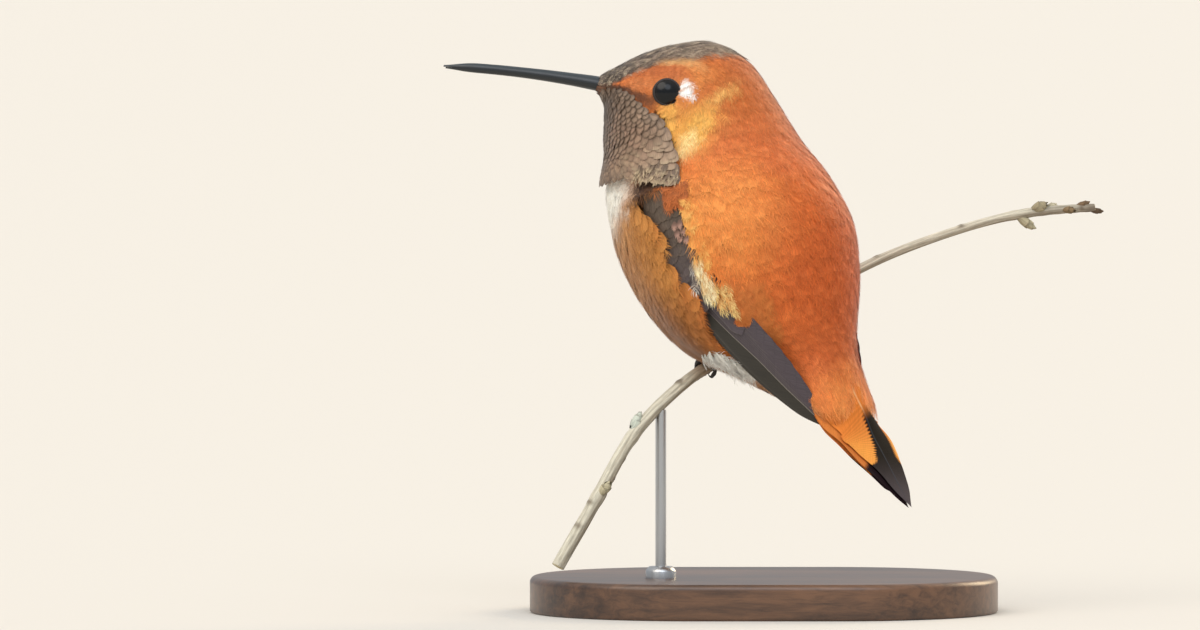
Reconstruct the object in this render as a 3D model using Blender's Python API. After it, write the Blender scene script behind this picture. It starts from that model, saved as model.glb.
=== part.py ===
"""A life-size male rufous hummingbird at rest on a twig, over a plain display stand.

Row frame: metres, +Z up, the origin at the centre of the stand's underside. The bill points to -X
and the cut twig runs up from the lower left to its own tip at +X. Everything of the bird is built in
millimetres in the bird's own frame, with +x forward, +y to its left, +z up and the origin at the
middle of the trunk, and hangs on the empty "bird". The head is turned to the bird's left.
"""

import math
from collections import namedtuple

import bmesh
import bpy
from mathutils import Matrix, Vector

MM = 0.001
CUT = 0.1  # the gap that parts two neighbours

# The bird on its perch.
BIRD_AT = Vector((-2.9, 0.0, 40.7))
BIRD_HEADING = 145.0  # degrees from +X, seen from above
HEAD_TURN = 35.0  # to the bird's left, about the neck
NECK_X = 4.5  # the neck's upright axis, ahead of the trunk's centre

# The display stand.
BASE_LENGTH, BASE_DEPTH, BASE_THICKNESS = 52.0, 38.0, 4.0
BASE_CORNER, BASE_EDGE = 18.0, 0.7
ROD_RADIUS = 0.6
ROD_X = -11.5
COLLAR_RADIUS, COLLAR_SHOULDER, COLLAR_HEIGHT = 1.7, 0.9, 1.3

# Cross-sections of head, neck, trunk and rump. Each is an ellipse whose centre lies x ahead and z above
# the trunk's centre. Its dorsal axis points back and leans up by tilt degrees, and turn is the share of
# HEAD_TURN that the head's turn has reached there.
Section = namedtuple("Section", "x z tilt depth width turn")
SECTIONS = [
    Section(16.5, 17.85, 79.5, 0.95, 1.0, 1.0),  # root of the bill
    Section(14.9, 17.95, 70, 2.0, 2.2, 1.0),  # chin and forehead
    Section(13.4, 17.9, 60, 3.8, 4.0, 1.0),  # lores
    Section(11.4, 17.4, 52, 6.3, 6.3, 1.0),  # eyes
    Section(9.3, 16.5, 46, 8.4, 7.9, 1.0),  # crown and throat
    Section(7.4, 14.4, 37, 9.9, 8.8, 0.8),  # nape
    Section(6.0, 11.5, 27, 10.6, 9.4, 0.5),  # neck
    Section(4.6, 8.2, 19, 11.7, 10.4, 0.2),  # shoulders
    Section(2.3, 4.6, 15, 13.1, 11.5, 0.0),  # breast
    Section(0.0, 0.0, 13, 13.7, 11.9, 0.0),  # middle of the trunk
    Section(-2.1, -5.4, 11, 12.6, 10.8, 0.0),  # belly
    Section(-4.4, -10.2, 10, 10.3, 8.6, 0.0),  # thighs
    Section(-8.7, -13.3, 18, 6.6, 6.0, 0.0),  # vent
    Section(-12.65, -16.15, 32, 3.6, 5.2, 0.0),  # root of the tail
    Section(-15.9, -19.5, 40, 1.5, 4.9, 0.0),  # end of the tail's coverts
]
NECK_TOP, SHOULDERS, VENT, COVERTS_END = 5.35, 7.2, 11.7, 14  # where the body is parted
BODY_SIDES = 24

# The throat's shield of scale feathers, which stands a little off the body at its lower corners.
GORGET_REACH = [40, 66, 73, 75, 84, 102]  # degrees either side of the throat's midline, chin to foot
GORGET_TOP, GORGET_FOOT, GORGET_CORNER_DROP = 0.45, 6.15, 1.2
GORGET_THICKNESS, GORGET_FLARE = 0.7, 0.75

# Bill: two mandibles on one gently decurved line.
BILL_LENGTH, BILL_DROOP = 17.1, 1.15
BILL_DEPTHS = [1.5, 1.3, 1.17, 1.08, 1.05, 0.95, 0.3]
BILL_UPPER_SHARE = 0.58  # of the depth
BILL_BREADTH, BILL_BREADTH_LOSS = 1.15, 0.2  # breadth for each unit of depth at the root, less at the tip

EYE_RADIUS = 2.05
EYE_ANGLE, EYE_STATION, EYE_SINK = 84, 3.98, 1.2

# The folded wing, wrist to tip, on the left of the bird; the right one mirrors it.
WING_LINE = [
    Vector((3.7, 10.7, 6.6)),
    Vector((-1.6, 11.75, -2.7)),
    Vector((-8.4, 9.0, -11.4)),
    Vector((-14.6, 3.6, -19.8)),
]
WING_HALF_WIDTHS = [2.0, 3.4, 3.7, 3.3, 2.6, 1.6, 0.35]
WING_THICKNESS, WING_TIP_THICKNESS = 1.3, 0.5
WING_WRAP = 12.0  # radius of the side that the wing lies on
WING_SPLIT = 0.4  # share of the line that the coverts take

# Tail: a top pair of feathers over a left and a right bundle.
TAIL_TIP = Vector((-22.9, 0.0, -28.7))
TAIL_HALF_WIDTHS = [5.0, 4.7, 4.0, 3.2, 2.4, 1.5, 0.4]
TAIL_TOP_HALF_WIDTHS = [4.2, 4.2, 3.8, 3.1, 2.3, 1.4, 0.3]
TAIL_PLATE, TAIL_BUNDLE_SHARE, TAIL_ARCH = 0.5, 0.86, 0.35

# Perch: the twig's middle line in the row frame and its radius along it.
TWIG_LINE = [
    Vector((-22.85, -10.5, 5.6)),
    Vector((-18.8, -9.0, 12.6)),
    Vector((-14.4, -6.6, 20.1)),
    Vector((-8.4, -2.4, 25.9)),
    Vector((-3.3, 3.6, 28.6)),
    Vector((1.2, 8.8, 31.6)),
    Vector((10.2, 12.2, 37.4)),
    Vector((20.0, 14.2, 41.4)),
    Vector((29.0, 15.4, 43.8)),
    Vector((37.3, 16.4, 44.5)),
]
TWIG_RADII = [0.76, 0.74, 0.71, 0.68, 0.64, 0.6, 0.55, 0.5, 0.5, 0.42]
TWIG_STEPS, TWIG_SIDES = 30, 10
LEFT_FOOT, RIGHT_FOOT = 0.378, 0.453  # shares of the twig's line
TOE_RADIUS, TOE_SPACING, TOE_SIDES = 0.3, 0.66, 7
KNUCKLE, TOE_END, HALLUX_END = 40, -140, 165  # degrees round the twig from its top
SHANK_RADII, PALM_RADIUS = [0.75, 0.6, 0.42, 0.38, 0.4], 0.5
LEG_ROOT = Vector((-2.2, 2.6, -11.4))
LEG_ROOM_RADII = [0.7, 1.0, 1.2, 1.2]  # the lower part of the leg's room, which the foot widens

FEATHER_RUFOUS = ("plumage_rufous", "C8652B", 0.75, 0.0)
FEATHER_BROWN = ("plumage_brown", "6B5746", 0.7, 0.0)
FEATHER_DARK = ("flight_feathers", "3E373A", 0.6, 0.0)
HORN = ("horn", "2C3338", 0.35, 0.0)
EYE = ("eye", "14181B", 0.05, 0.0)
SKIN_DARK = ("leg_skin", "2B2725", 0.55, 0.0)
BARK = ("bark", "B3AC98", 0.85, 0.0)
WALNUT = ("stand_wood", "4A3527", 0.45, 0.0)
STEEL = ("stand_steel", "B9BBBD", 0.3, 1.0)


def material(spec):
    """The Principled material of a (name, sRGB hex, roughness, metallic) spec, made once."""
    name, colour, roughness, metallic = spec
    made = bpy.data.materials.get(name)
    if made is None:
        made = bpy.data.materials.new(name)
        made.use_nodes = True
        shader = made.node_tree.nodes["Principled BSDF"]
        shares = [int(colour[i : i + 2], 16) / 255 for i in (0, 2, 4)]
        linear = [s / 12.92 if s <= 0.04045 else ((s + 0.055) / 1.055) ** 2.4 for s in shares]
        shader.inputs["Base Color"].default_value = (*linear, 1.0)
        shader.inputs["Roughness"].default_value = roughness
        shader.inputs["Metallic"].default_value = metallic
    return made


def along(values, share):
    """A smooth curve through evenly spaced values, read at a share of its length from 0 to 1."""
    place = min(max(share, 0.0), 1.0) * (len(values) - 1)
    i = min(int(place), len(values) - 2)
    f = place - i
    a, b, c, d = (values[min(max(k, 0), len(values) - 1)] for k in (i - 1, i, i + 1, i + 2))
    bow = (a * 2 - b * 5 + c * 4 - d) * (f * f / 2)
    return b + (c - a) * (f / 2) + bow + (b * 3 - c * 3 + d - a) * (f**3 / 2)


def new_object(name, points, faces, spec, parent=None):
    """A mesh object from points in millimetres, with its faces turned outwards."""
    mesh = bpy.data.meshes.new(name)
    mesh.from_pydata([p * MM for p in points], [], faces)
    shape = bmesh.new()
    shape.from_mesh(mesh)
    bmesh.ops.recalc_face_normals(shape, faces=shape.faces)
    shape.to_mesh(mesh)
    shape.free()
    mesh.materials.append(material(spec))
    mesh.shade_smooth()
    made = bpy.data.objects.new(name, mesh)
    bpy.context.scene.collection.objects.link(made)
    made.parent = parent
    return made


def loft(name, rings, spec, parent=None):
    """A closed solid skinned over rings of equal count, with flat ends."""
    count = len(rings[0])
    faces = [tuple(range(count)), tuple(range((len(rings) - 1) * count, len(rings) * count))]
    for r in range(len(rings) - 1):
        for k in range(count):
            j = (k + 1) % count
            faces.append((r * count + k, r * count + j, (r + 1) * count + j, (r + 1) * count + k))
    return new_object(name, [p for ring in rings for p in ring], faces, spec, parent)


def shell(name, outer, inner, spec, parent=None):
    """A closed solid between two grids of points of the same size."""
    rows, columns = len(outer), len(outer[0])
    half = rows * columns
    faces = []
    for r in range(rows - 1):
        for c in range(columns - 1):
            a, b = r * columns + c, (r + 1) * columns + c
            faces.append((a, a + 1, b + 1, b))
            faces.append((half + a, half + b, half + b + 1, half + a + 1))
    rim = [(0, c) for c in range(columns)]
    rim += [(r, columns - 1) for r in range(1, rows)]
    rim += [(rows - 1, c) for c in range(columns - 2, -1, -1)]
    rim += [(r, 0) for r in range(rows - 2, 0, -1)]
    for (r, c), (s, d) in zip(rim, rim[1:] + rim[:1]):
        a, b = r * columns + c, s * columns + d
        faces.append((a, b, half + b, half + a))
    points = [p for grid in (outer, inner) for row in grid for p in row]
    return new_object(name, points, faces, spec, parent)


def tube_rings(line, radii, sides):
    """Rings across a line of points, turned as little as possible from one to the next."""
    rings, side = [], None
    for i, (point, radius) in enumerate(zip(line, radii)):
        ahead = (line[min(i + 1, len(line) - 1)] - line[max(i - 1, 0)]).normalized()
        guide = side if side else ahead.orthogonal()
        side = (guide - ahead * guide.dot(ahead)).normalized()
        other = ahead.cross(side)
        turns = [2 * math.pi * k / sides for k in range(sides)]
        rings.append([point + (side * math.cos(a) + other * math.sin(a)) * radius for a in turns])
    return rings


def helper(obj):
    """Marks a cutter or a shape that a union takes in."""
    obj.hide_render = True
    obj.display_type = "WIRE"
    return obj


def boolean(obj, other, operation):
    step = obj.modifiers.new(f"{operation.lower()} {other.name}", "BOOLEAN")
    step.operation = operation
    step.object = other
    return obj


def cut(obj, *cutters):
    for cutter in cutters:
        boolean(obj, helper(cutter), "DIFFERENCE")
    return obj


def join(obj, *others):
    for other in others:
        boolean(obj, helper(other), "UNION")
    return obj


def ball(name, centre, radius, spec, parent=None, rows=10, columns=16):
    shape = bmesh.new()
    bmesh.ops.create_uvsphere(shape, u_segments=columns, v_segments=rows, radius=radius)
    points = [v.co + centre for v in shape.verts]
    faces = [tuple(v.index for v in f.verts) for f in shape.faces]
    shape.free()
    return new_object(name, points, faces, spec, parent)


def mirrored(p):
    return Vector((p.x, -p.y, p.z))


# Body ---------------------------------------------------------------------------------------------------


def section(station):
    """Centre, dorsal axis, left axis, half depth and half width of the body at a station."""
    at = Section(*(along([s[k] for s in SECTIONS], station / (len(SECTIONS) - 1)) for k in range(6)))
    turn = math.radians(HEAD_TURN * at.turn)
    ahead = Vector((math.cos(turn), math.sin(turn), 0))
    left = Vector((-math.sin(turn), math.cos(turn), 0))
    tilt = math.radians(at.tilt)
    back = Vector((0, 0, math.sin(tilt))) - ahead * math.cos(tilt)
    centre = Vector((NECK_X, 0, at.z)) + ahead * (at.x - NECK_X)
    return centre, back, left, at.depth, at.width


def body_point(station, angle, lift=0.0):
    """A point of the body. The angle runs in degrees from the back's midline towards the left."""
    centre, back, left, depth, width = section(station)
    up, out = math.cos(math.radians(angle)), math.sin(math.radians(angle))
    outward = (back * (up / depth) + left * (out / width)).normalized()
    return centre + back * (depth * up) + left * (width * out) + outward * lift


def body_ring(station, shift=0.0):
    """The section's outline, moved along its own axis by shift, towards the tail if positive."""
    _, back, left, _, _ = section(station)
    step = back.cross(left) * shift
    return [body_point(station, 360 * k / BODY_SIDES) + step for k in range(BODY_SIDES)]


def body_part(name, first, last, spec, parent, step=0.5):
    """A stretch of the body, parted from its neighbours by flat cuts."""
    count = max(2, round((last - first) / step) + 1)
    stations = [first + (last - first) * k / (count - 1) for k in range(count)]
    shifts = [CUT / 2, *([0.0] * (count - 2)), -CUT / 2]
    return loft(name, [body_ring(s, shift) for s, shift in zip(stations, shifts)], spec, parent)


def gorget(parent):
    """The throat's shield: a shell over chin, throat and upper breast."""
    outer, inner = [], []
    for r in range(11):
        down = r / 10
        outer_row, inner_row = [], []
        for c in range(15):
            side = abs(c / 7 - 1)
            angle = 180 + along(GORGET_REACH, down) * (c / 7 - 1)
            foot = GORGET_FOOT + GORGET_CORNER_DROP * side
            station = GORGET_TOP + (foot - GORGET_TOP) * down
            flare = GORGET_FLARE * side**2 * down**4
            taper = 0.35 + 0.65 * math.sqrt(1 - side**4) * min(1.0, down * 4)
            outer_row.append(body_point(station, angle, 2 * CUT + flare + GORGET_THICKNESS * taper))
            inner_row.append(body_point(station, angle, 2 * CUT + flare))
        outer.append(outer_row)
        inner.append(inner_row)
    return shell("gorget", outer, inner, FEATHER_BROWN, parent)


# Head ---------------------------------------------------------------------------------------------------


def mandible(name, parent, upper):
    """One half of the bill, from its root in the head's front to the tip."""
    root, over, left, _, _ = section(0)
    ahead = left.cross(over)
    half, part = (1, BILL_UPPER_SHARE) if upper else (-1, 1 - BILL_UPPER_SHARE)
    rings = []
    for k in range(13):
        share = 1 - (1 - k / 12) ** 1.5
        depth = along(BILL_DEPTHS, share)
        width = depth * (BILL_BREADTH - BILL_BREADTH_LOSS * share)
        centre = root + ahead * (CUT + BILL_LENGTH * share) - over * (BILL_DROOP * share**2)
        ring = []
        for j in range(9):
            angle = math.pi * j / 8
            height = CUT / 2 + math.sin(angle) * (depth - CUT) * part
            ring.append(centre + left * (math.cos(angle) * width / 2) + over * (half * height))
        rings.append(ring)
    return loft(name, rings, HORN, parent)


def head(parent):
    """The head with its two eyes in their sockets and the two mandibles."""
    made = body_part("head", 0, NECK_TOP, FEATHER_RUFOUS, parent, 0.45)
    for side, label in ((1, "left"), (-1, "right")):
        centre = body_point(EYE_STATION, EYE_ANGLE * side, -EYE_SINK)
        cut(made, ball(f"socket_{label}", centre, EYE_RADIUS + CUT, EYE, parent))
        ball(f"eye_{label}", centre, EYE_RADIUS, EYE, parent)
    mandible("bill_upper", parent, True)
    mandible("bill_lower", parent, False)


# Wings and tail -----------------------------------------------------------------------------------------


def wing_grids(first, last, rows, grow, side):
    """The outer and inner faces of the folded wing between two shares of its length."""
    outer, inner = [], []
    for r in range(rows):
        share = first + (last - first) * r / (rows - 1)
        centre = along(WING_LINE, share)
        ahead = (along(WING_LINE, share + 0.02) - along(WING_LINE, share - 0.02)).normalized()
        guide = Vector((0.2 - 0.7 * share, 1.0, 0.0))
        outward = (guide - ahead * guide.dot(ahead)).normalized()
        across = ahead.cross(outward)
        half_width = along(WING_HALF_WIDTHS, share) + grow
        thickness = WING_THICKNESS + (WING_TIP_THICKNESS - WING_THICKNESS) * min(1.0, share / 0.75)
        wrap = WING_WRAP / max(0.15, 1 - share)
        outer_row, inner_row = [], []
        for c in range(7):
            reach = half_width * (c / 3 - 1)
            edge = 0.25 + 0.75 * math.sqrt(max(0.0, 1 - (c / 3 - 1) ** 4))
            middle = centre + across * reach - outward * (reach * reach / (2 * wrap))
            half = outward * max(thickness * edge, WING_TIP_THICKNESS) / 2
            outer_row.append(middle + half + outward * grow)
            inner_row.append(middle - half - outward * grow)
        outer.append(outer_row)
        inner.append(inner_row)
    if side < 0:
        outer = [[mirrored(p) for p in row] for row in outer]
        inner = [[mirrored(p) for p in row] for row in inner]
    return outer, inner


def wing(label, side, parent):
    """Coverts and flight feathers of one folded wing. Returns the shape that makes room for both."""
    slit = CUT / 70  # the gap as a share of the wing's length
    coverts = wing_grids(0, WING_SPLIT - slit, 7, 0, side)
    shell(f"wing_{label}_coverts", *coverts, FEATHER_BROWN, parent)
    blade = wing_grids(WING_SPLIT + slit, 1, 11, 0, side)
    shell(f"wing_{label}_primaries", *blade, FEATHER_DARK, parent)
    return shell(f"wing_{label}_room", *wing_grids(-0.01, 1, 15, CUT, side), FEATHER_DARK, parent)


def tail_grids(widths, length, low, first=-1.0, last=1.0):
    """A plate of the closed tail. low is its depth under the tail's upper face."""
    root, _, left, _, _ = section(COVERTS_END)
    line = TAIL_TIP - root
    ahead = line.normalized()
    over = left.cross(ahead)
    top, bottom = [], []
    for r in range(12):
        share = r / 11 * length
        half_width = along(widths, share / length)
        row_top, row_bottom = [], []
        for c in range(5):
            reach = first + (last - first) * c / 4
            arch = TAIL_ARCH * reach * reach * (1 - share)
            point = root + line * share + ahead * CUT + left * (half_width * reach) - over * (low + arch)
            row_top.append(point)
            row_bottom.append(point - over * TAIL_PLATE)
        top.append(row_top)
        bottom.append(row_bottom)
    return top, bottom


def tail(parent):
    lift = TAIL_PLATE + CUT / 2
    shell("tail_top", *tail_grids(TAIL_TOP_HALF_WIDTHS, 1, -lift), FEATHER_RUFOUS, parent)
    slit = 0.02
    for label, first, last in (("left", slit, 1), ("right", -1, -slit)):
        grids = tail_grids(TAIL_HALF_WIDTHS, TAIL_BUNDLE_SHARE, CUT / 2, first, last)
        shell(f"tail_{label}", *grids, FEATHER_RUFOUS, parent)


# Perch and feet -----------------------------------------------------------------------------------------


def twig_point(share):
    return along(TWIG_LINE, share)


def twig_axes(share):
    """The twig's own frame: along it, away from the ground, and across."""
    ahead = (twig_point(share + 0.004) - twig_point(share - 0.004)).normalized()
    up = (Vector((0, 0, 1)) - ahead * ahead.z).normalized()
    return ahead, up, ahead.cross(up)


def twig(name, grow):
    """The bare twig, or with grow the room that it takes up."""
    shares = [k / TWIG_STEPS for k in range(TWIG_STEPS + 1)]
    line = [twig_point(s) for s in shares]
    radii = [along(TWIG_RADII, s) + grow for s in shares]
    return loft(name, tube_rings(line, radii, TWIG_SIDES), BARK)


def bud(name, share, turn, length, radius, lean):
    """A pointed bud on the twig, leaning towards its tip."""
    ahead, up, across = twig_axes(share)
    turn, lean = math.radians(turn), math.radians(lean)
    outward = up * math.cos(turn) + across * math.sin(turn)
    axis = ahead * math.cos(lean) + outward * math.sin(lean)
    root = twig_point(share) + outward * (along(TWIG_RADII, share) * 0.6)
    swell = [0.55, 0.9, 1.0, 0.75, 0.15]
    line = [root + axis * (length * k / 4) for k in range(5)]
    return loft(name, tube_rings(line, [radius * s for s in swell], 8), BARK)


def perch():
    made = twig("perch", 0)
    buds = [
        bud("bud_low", 0.125, 85, 2.0, 0.5, 35),
        bud("bud_upper", 0.215, -60, 2.2, 0.6, 25),
        bud("bud_hidden", 0.655, -75, 1.6, 0.4, 20),
        bud("bud_tip", 0.905, 30, 2.0, 0.6, 18),
        bud("bud_under", 0.885, 180, 2.4, 0.5, 45),
    ]
    return join(made, *buds)


def toe_line(share, slide, first, last, radius):
    """Points of a toe that wraps the twig, from one angle to another about the twig's axis."""
    pace = (twig_point(share + 0.004) - twig_point(share - 0.004)).length / 0.008
    share += slide / pace
    _, up, across = twig_axes(share)
    centre = twig_point(share)
    points = []
    for k in range(8):
        angle = math.radians(first + (last - first) * k / 7)
        points.append(centre + (up * math.cos(angle) + across * math.sin(angle)) * radius)
    return points


def leg(label, side, share, to_row):
    """Shank and toes of one foot, gripping the twig, with the room that they need in the belly."""
    clear = along(TWIG_RADII, share) + TOE_RADIUS + CUT
    knuckle = toe_line(share, 0, KNUCKLE, 0, clear + 0.2)[0]
    root = to_row @ Vector((LEG_ROOT.x, LEG_ROOT.y * side, LEG_ROOT.z))
    bend = root.lerp(knuckle, 0.6)
    shank = [root, root.lerp(bend, 0.5), bend, bend.lerp(knuckle, 0.5), knuckle]
    made = loft(f"leg_{label}", tube_rings(shank, SHANK_RADII, 8), SKIN_DARK)
    toes = []
    for i in (-1, 0, 1):
        line = toe_line(share, i * TOE_SPACING, KNUCKLE, TOE_END, clear)
        radii = [TOE_RADIUS] * 6 + [TOE_RADIUS * 0.85, TOE_RADIUS * 0.35]
        toes.append(loft(f"toe_{label}_{i + 2}", tube_rings(line, radii, TOE_SIDES), SKIN_DARK))
    line = toe_line(share, 0, KNUCKLE, HALLUX_END, clear)
    hallux = loft(f"toe_{label}_back", tube_rings(line, radii, TOE_SIDES), SKIN_DARK)
    palm = ball(f"palm_{label}", knuckle, PALM_RADIUS, SKIN_DARK, None, 6, 10)
    join(made, palm, *toes, hallux)
    step = (knuckle - root).normalized()
    line = [root - step * 2 * CUT, *shank[1:], knuckle + step]
    room = tube_rings(line, [r + 2 * CUT for r in SHANK_RADII[:2]] + LEG_ROOM_RADII, 10)
    return loft(f"leg_{label}_room", room, SKIN_DARK)


# Stand --------------------------------------------------------------------------------------------------


def stand():
    """A rounded wooden base with one steel rod up to the twig."""
    outline = []
    for k in range(48):
        angle = 2 * math.pi * (k + 0.5) / 48
        corner = Vector((math.copysign(BASE_LENGTH / 2 - BASE_CORNER, math.cos(angle)), 0, 0))
        corner.y = math.copysign(BASE_DEPTH / 2 - BASE_CORNER, math.sin(angle))
        outline.append(corner + Vector((math.cos(angle), math.sin(angle), 0)) * BASE_CORNER)
    top, bevel = BASE_THICKNESS, BASE_EDGE
    rings = []
    for height, inset in ((0, bevel / 2), (bevel / 2, 0), (top - bevel, 0), (top, bevel)):
        rings.append([p - p.normalized() * inset + Vector((0, 0, height)) for p in outline])
    loft("stand_base", rings, WALNUT)

    share = next(k / 400 for k in range(400) if twig_point(k / 400).x >= ROD_X)
    foot_of_rod = twig_point(share)
    top = foot_of_rod.z
    foot_of_rod.z = BASE_THICKNESS + CUT
    heights = [foot_of_rod.z, top]
    line = [Vector((foot_of_rod.x, foot_of_rod.y, h)) for h in heights]
    rod = loft("stand_rod", tube_rings(line, [ROD_RADIUS] * 2, 20), STEEL)
    collar_line = [line[0] + Vector((0, 0, h)) for h in (0, COLLAR_SHOULDER, COLLAR_HEIGHT)]
    collar_radii = [COLLAR_RADIUS, COLLAR_RADIUS, COLLAR_RADIUS - COLLAR_HEIGHT + COLLAR_SHOULDER]
    join(rod, loft("stand_collar", tube_rings(collar_line, collar_radii, 24), STEEL))
    cut(rod, twig("twig_room_rod", CUT))


def main():
    for obj in list(bpy.data.objects):
        bpy.data.objects.remove(obj)
    bird = bpy.data.objects.new("bird", None)
    bpy.context.scene.collection.objects.link(bird)
    bird.location = BIRD_AT * MM
    bird.rotation_euler.z = math.radians(BIRD_HEADING)
    to_row = Matrix.Translation(BIRD_AT) @ Matrix.Rotation(math.radians(BIRD_HEADING), 4, "Z")

    head(bird)
    body_part("neck", NECK_TOP, SHOULDERS, FEATHER_RUFOUS, bird)
    trunk = body_part("trunk", SHOULDERS, VENT, FEATHER_RUFOUS, bird, 0.35)
    gorget(bird)
    tail(bird)
    wing_rooms = [wing("left", 1, bird), wing("right", -1, bird)]
    cut(body_part("tail_coverts", VENT, COVERTS_END, FEATHER_RUFOUS, bird), *wing_rooms)
    perch()
    leg_rooms = [leg("left", 1, LEFT_FOOT, to_row), leg("right", -1, RIGHT_FOOT, to_row)]
    cut(trunk, *wing_rooms, *leg_rooms, twig("twig_room_belly", 3 * CUT + 2 * TOE_RADIUS))
    stand()


main()
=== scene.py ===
"""The looks of a life-size male rufous hummingbird, perched on a cut twig over a plain display stand.

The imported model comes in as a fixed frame. Sizes are in millimetres until a mesh is made, and all that
belongs to the bird is worked out in the bird's own frame: +x forward, +y to its left, +z up, with the
origin at the middle of its trunk.
"""

import math
from collections import namedtuple

import bpy
import numpy as np
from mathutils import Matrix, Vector


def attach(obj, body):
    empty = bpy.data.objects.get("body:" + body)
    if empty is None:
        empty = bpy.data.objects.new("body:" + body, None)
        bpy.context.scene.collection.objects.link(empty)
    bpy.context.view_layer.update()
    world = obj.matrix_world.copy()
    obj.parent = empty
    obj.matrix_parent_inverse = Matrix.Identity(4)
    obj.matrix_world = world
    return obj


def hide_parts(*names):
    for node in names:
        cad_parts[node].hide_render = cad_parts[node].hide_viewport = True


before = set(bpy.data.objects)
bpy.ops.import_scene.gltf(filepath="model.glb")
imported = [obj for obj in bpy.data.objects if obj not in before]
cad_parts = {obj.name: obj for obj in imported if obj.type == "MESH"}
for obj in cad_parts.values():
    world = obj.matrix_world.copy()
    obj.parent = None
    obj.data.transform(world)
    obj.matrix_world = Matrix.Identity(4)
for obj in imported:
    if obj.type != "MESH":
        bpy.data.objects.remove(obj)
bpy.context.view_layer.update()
MM = 0.001

# Camera -------------------------------------------------------------------------------------------------
# A long lens level with the bird's tail, looking very slightly down, so that the body is seen almost
# without perspective.

CAMERA_AIM = Vector((-18.2, 0.0, 33.0)) * MM
CAMERA_RISE = math.radians(2.0)
CAMERA_DISTANCE, CAMERA_FRAME_WIDTH = 1.5, 133.3 * MM

lens = bpy.data.cameras.new("camera")
lens.lens = lens.sensor_width * CAMERA_DISTANCE / CAMERA_FRAME_WIDTH
lens.clip_start, lens.clip_end = 0.01, 100.0
camera = bpy.data.objects.new("camera", lens)
camera.location = CAMERA_AIM + CAMERA_DISTANCE * Vector((0, -math.cos(CAMERA_RISE), math.sin(CAMERA_RISE)))
camera.rotation_euler = (math.pi / 2 - CAMERA_RISE, 0, 0)
bpy.context.scene.collection.objects.link(camera)
bpy.context.scene.camera = camera

# Skin ---------------------------------------------------------------------------------------------------
# One hide from the root of the bill to the root of the tail, under the whole coat. It is thin dull skin
# with the coat's own colours, and it dips into the eye sockets and the corners of the mouth.

BIRD_AT = np.array([-2.9, 0.0, 40.7])
BIRD_HEADING = math.radians(145.0)
HEAD_TURN, NECK_X = 35.0, 4.5
SECTIONS = np.array(
    [  # x, z, tilt, half depth, half width, share of the head's turn
        (16.5, 17.85, 79.5, 0.95, 1.0, 1.0),  # root of the bill
        (14.9, 17.95, 70, 2.0, 2.2, 1.0),  # chin and forehead
        (13.4, 17.9, 60, 3.8, 4.0, 1.0),  # lores
        (11.4, 17.4, 52, 6.3, 6.3, 1.0),  # eyes
        (9.3, 16.5, 46, 8.4, 7.9, 1.0),  # crown and throat
        (7.4, 14.4, 37, 9.9, 8.8, 0.8),  # nape
        (6.0, 11.5, 27, 10.6, 9.4, 0.5),  # neck
        (4.6, 8.2, 19, 11.7, 10.4, 0.2),  # shoulders
        (2.3, 4.6, 15, 13.1, 11.5, 0.0),  # breast
        (0.0, 0.0, 13, 13.7, 11.9, 0.0),  # middle of the trunk
        (-2.1, -5.4, 11, 12.6, 10.8, 0.0),  # belly
        (-4.4, -10.2, 10, 10.3, 8.6, 0.0),  # thighs
        (-8.7, -13.3, 18, 6.6, 6.0, 0.0),  # vent
        (-12.65, -16.15, 32, 3.6, 5.2, 0.0),  # root of the tail
        (-15.9, -19.5, 40, 1.5, 4.9, 0.0),  # end of the tail's coverts
    ]
)
LAST = len(SECTIONS) - 1
TAIL_TIP = np.array([-22.9, 0.0, -28.7])
EYE_STATION, EYE_ANGLE, EYE_SINK, EYE_RADIUS = 3.98, 84.0, 1.2, 1.95
# Length of the coat's feathers along the body, on the back and on the front.
BACK_LENGTHS = [0.7, 0.95, 1.25, 1.6, 1.9, 2.3, 2.8, 3.3, 3.8, 4.0, 4.0, 4.0, 4.2, 4.2, 3.6]
FRONT_LENGTHS = [0.6, 0.8, 1.0, 1.3, 1.6, 1.9, 2.2, 2.6, 3.0, 3.2, 3.2, 3.2, 3.4, 3.6, 3.6]


def linear(code):
    """An sRGB hex colour as three linear numbers."""
    share = np.array([int(code[k : k + 2], 16) for k in (0, 2, 4)]) / 255
    return np.where(share <= 0.04045, share / 12.92, ((share + 0.055) / 1.055) ** 2.4)


def between(near, far, share):
    """Linear colours from one hex colour to another, at shares from 0 to 1."""
    return linear(near) + (linear(far) - linear(near)) * np.asarray(share)[..., None]


def tinged(colours, code, share):
    """Linear colours drawn towards a hex colour by shares from 0 to 1."""
    return colours + (linear(code) - colours) * np.asarray(share)[..., None]


def unit(vectors):
    return vectors / np.maximum(np.linalg.norm(vectors, axis=-1, keepdims=True), 1e-12)


def smooth(low, high, value):
    """0 below low, 1 above high and a soft step between."""
    t = np.clip((value - low) / (high - low), 0, 1)
    return t * t * (3 - 2 * t)


def along(values, share):
    """A smooth curve through evenly spaced values, read at shares of its length from 0 to 1."""
    values = np.asarray(values, float)
    place = np.clip(np.asarray(share, float), 0, 1) * (len(values) - 1)
    i = np.minimum(place.astype(int), len(values) - 2)
    f = (place - i).reshape(place.shape + (1,) * (values.ndim - 1))
    a, b, c, d = (values[np.clip(i + k, 0, len(values) - 1)] for k in (-1, 0, 1, 2))
    bow = (a * 2 - b * 5 + c * 4 - d) * (f * f / 2)
    return b + (c - a) * (f / 2) + bow + (b * 3 - c * 3 + d - a) * (f**3 / 2)


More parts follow.
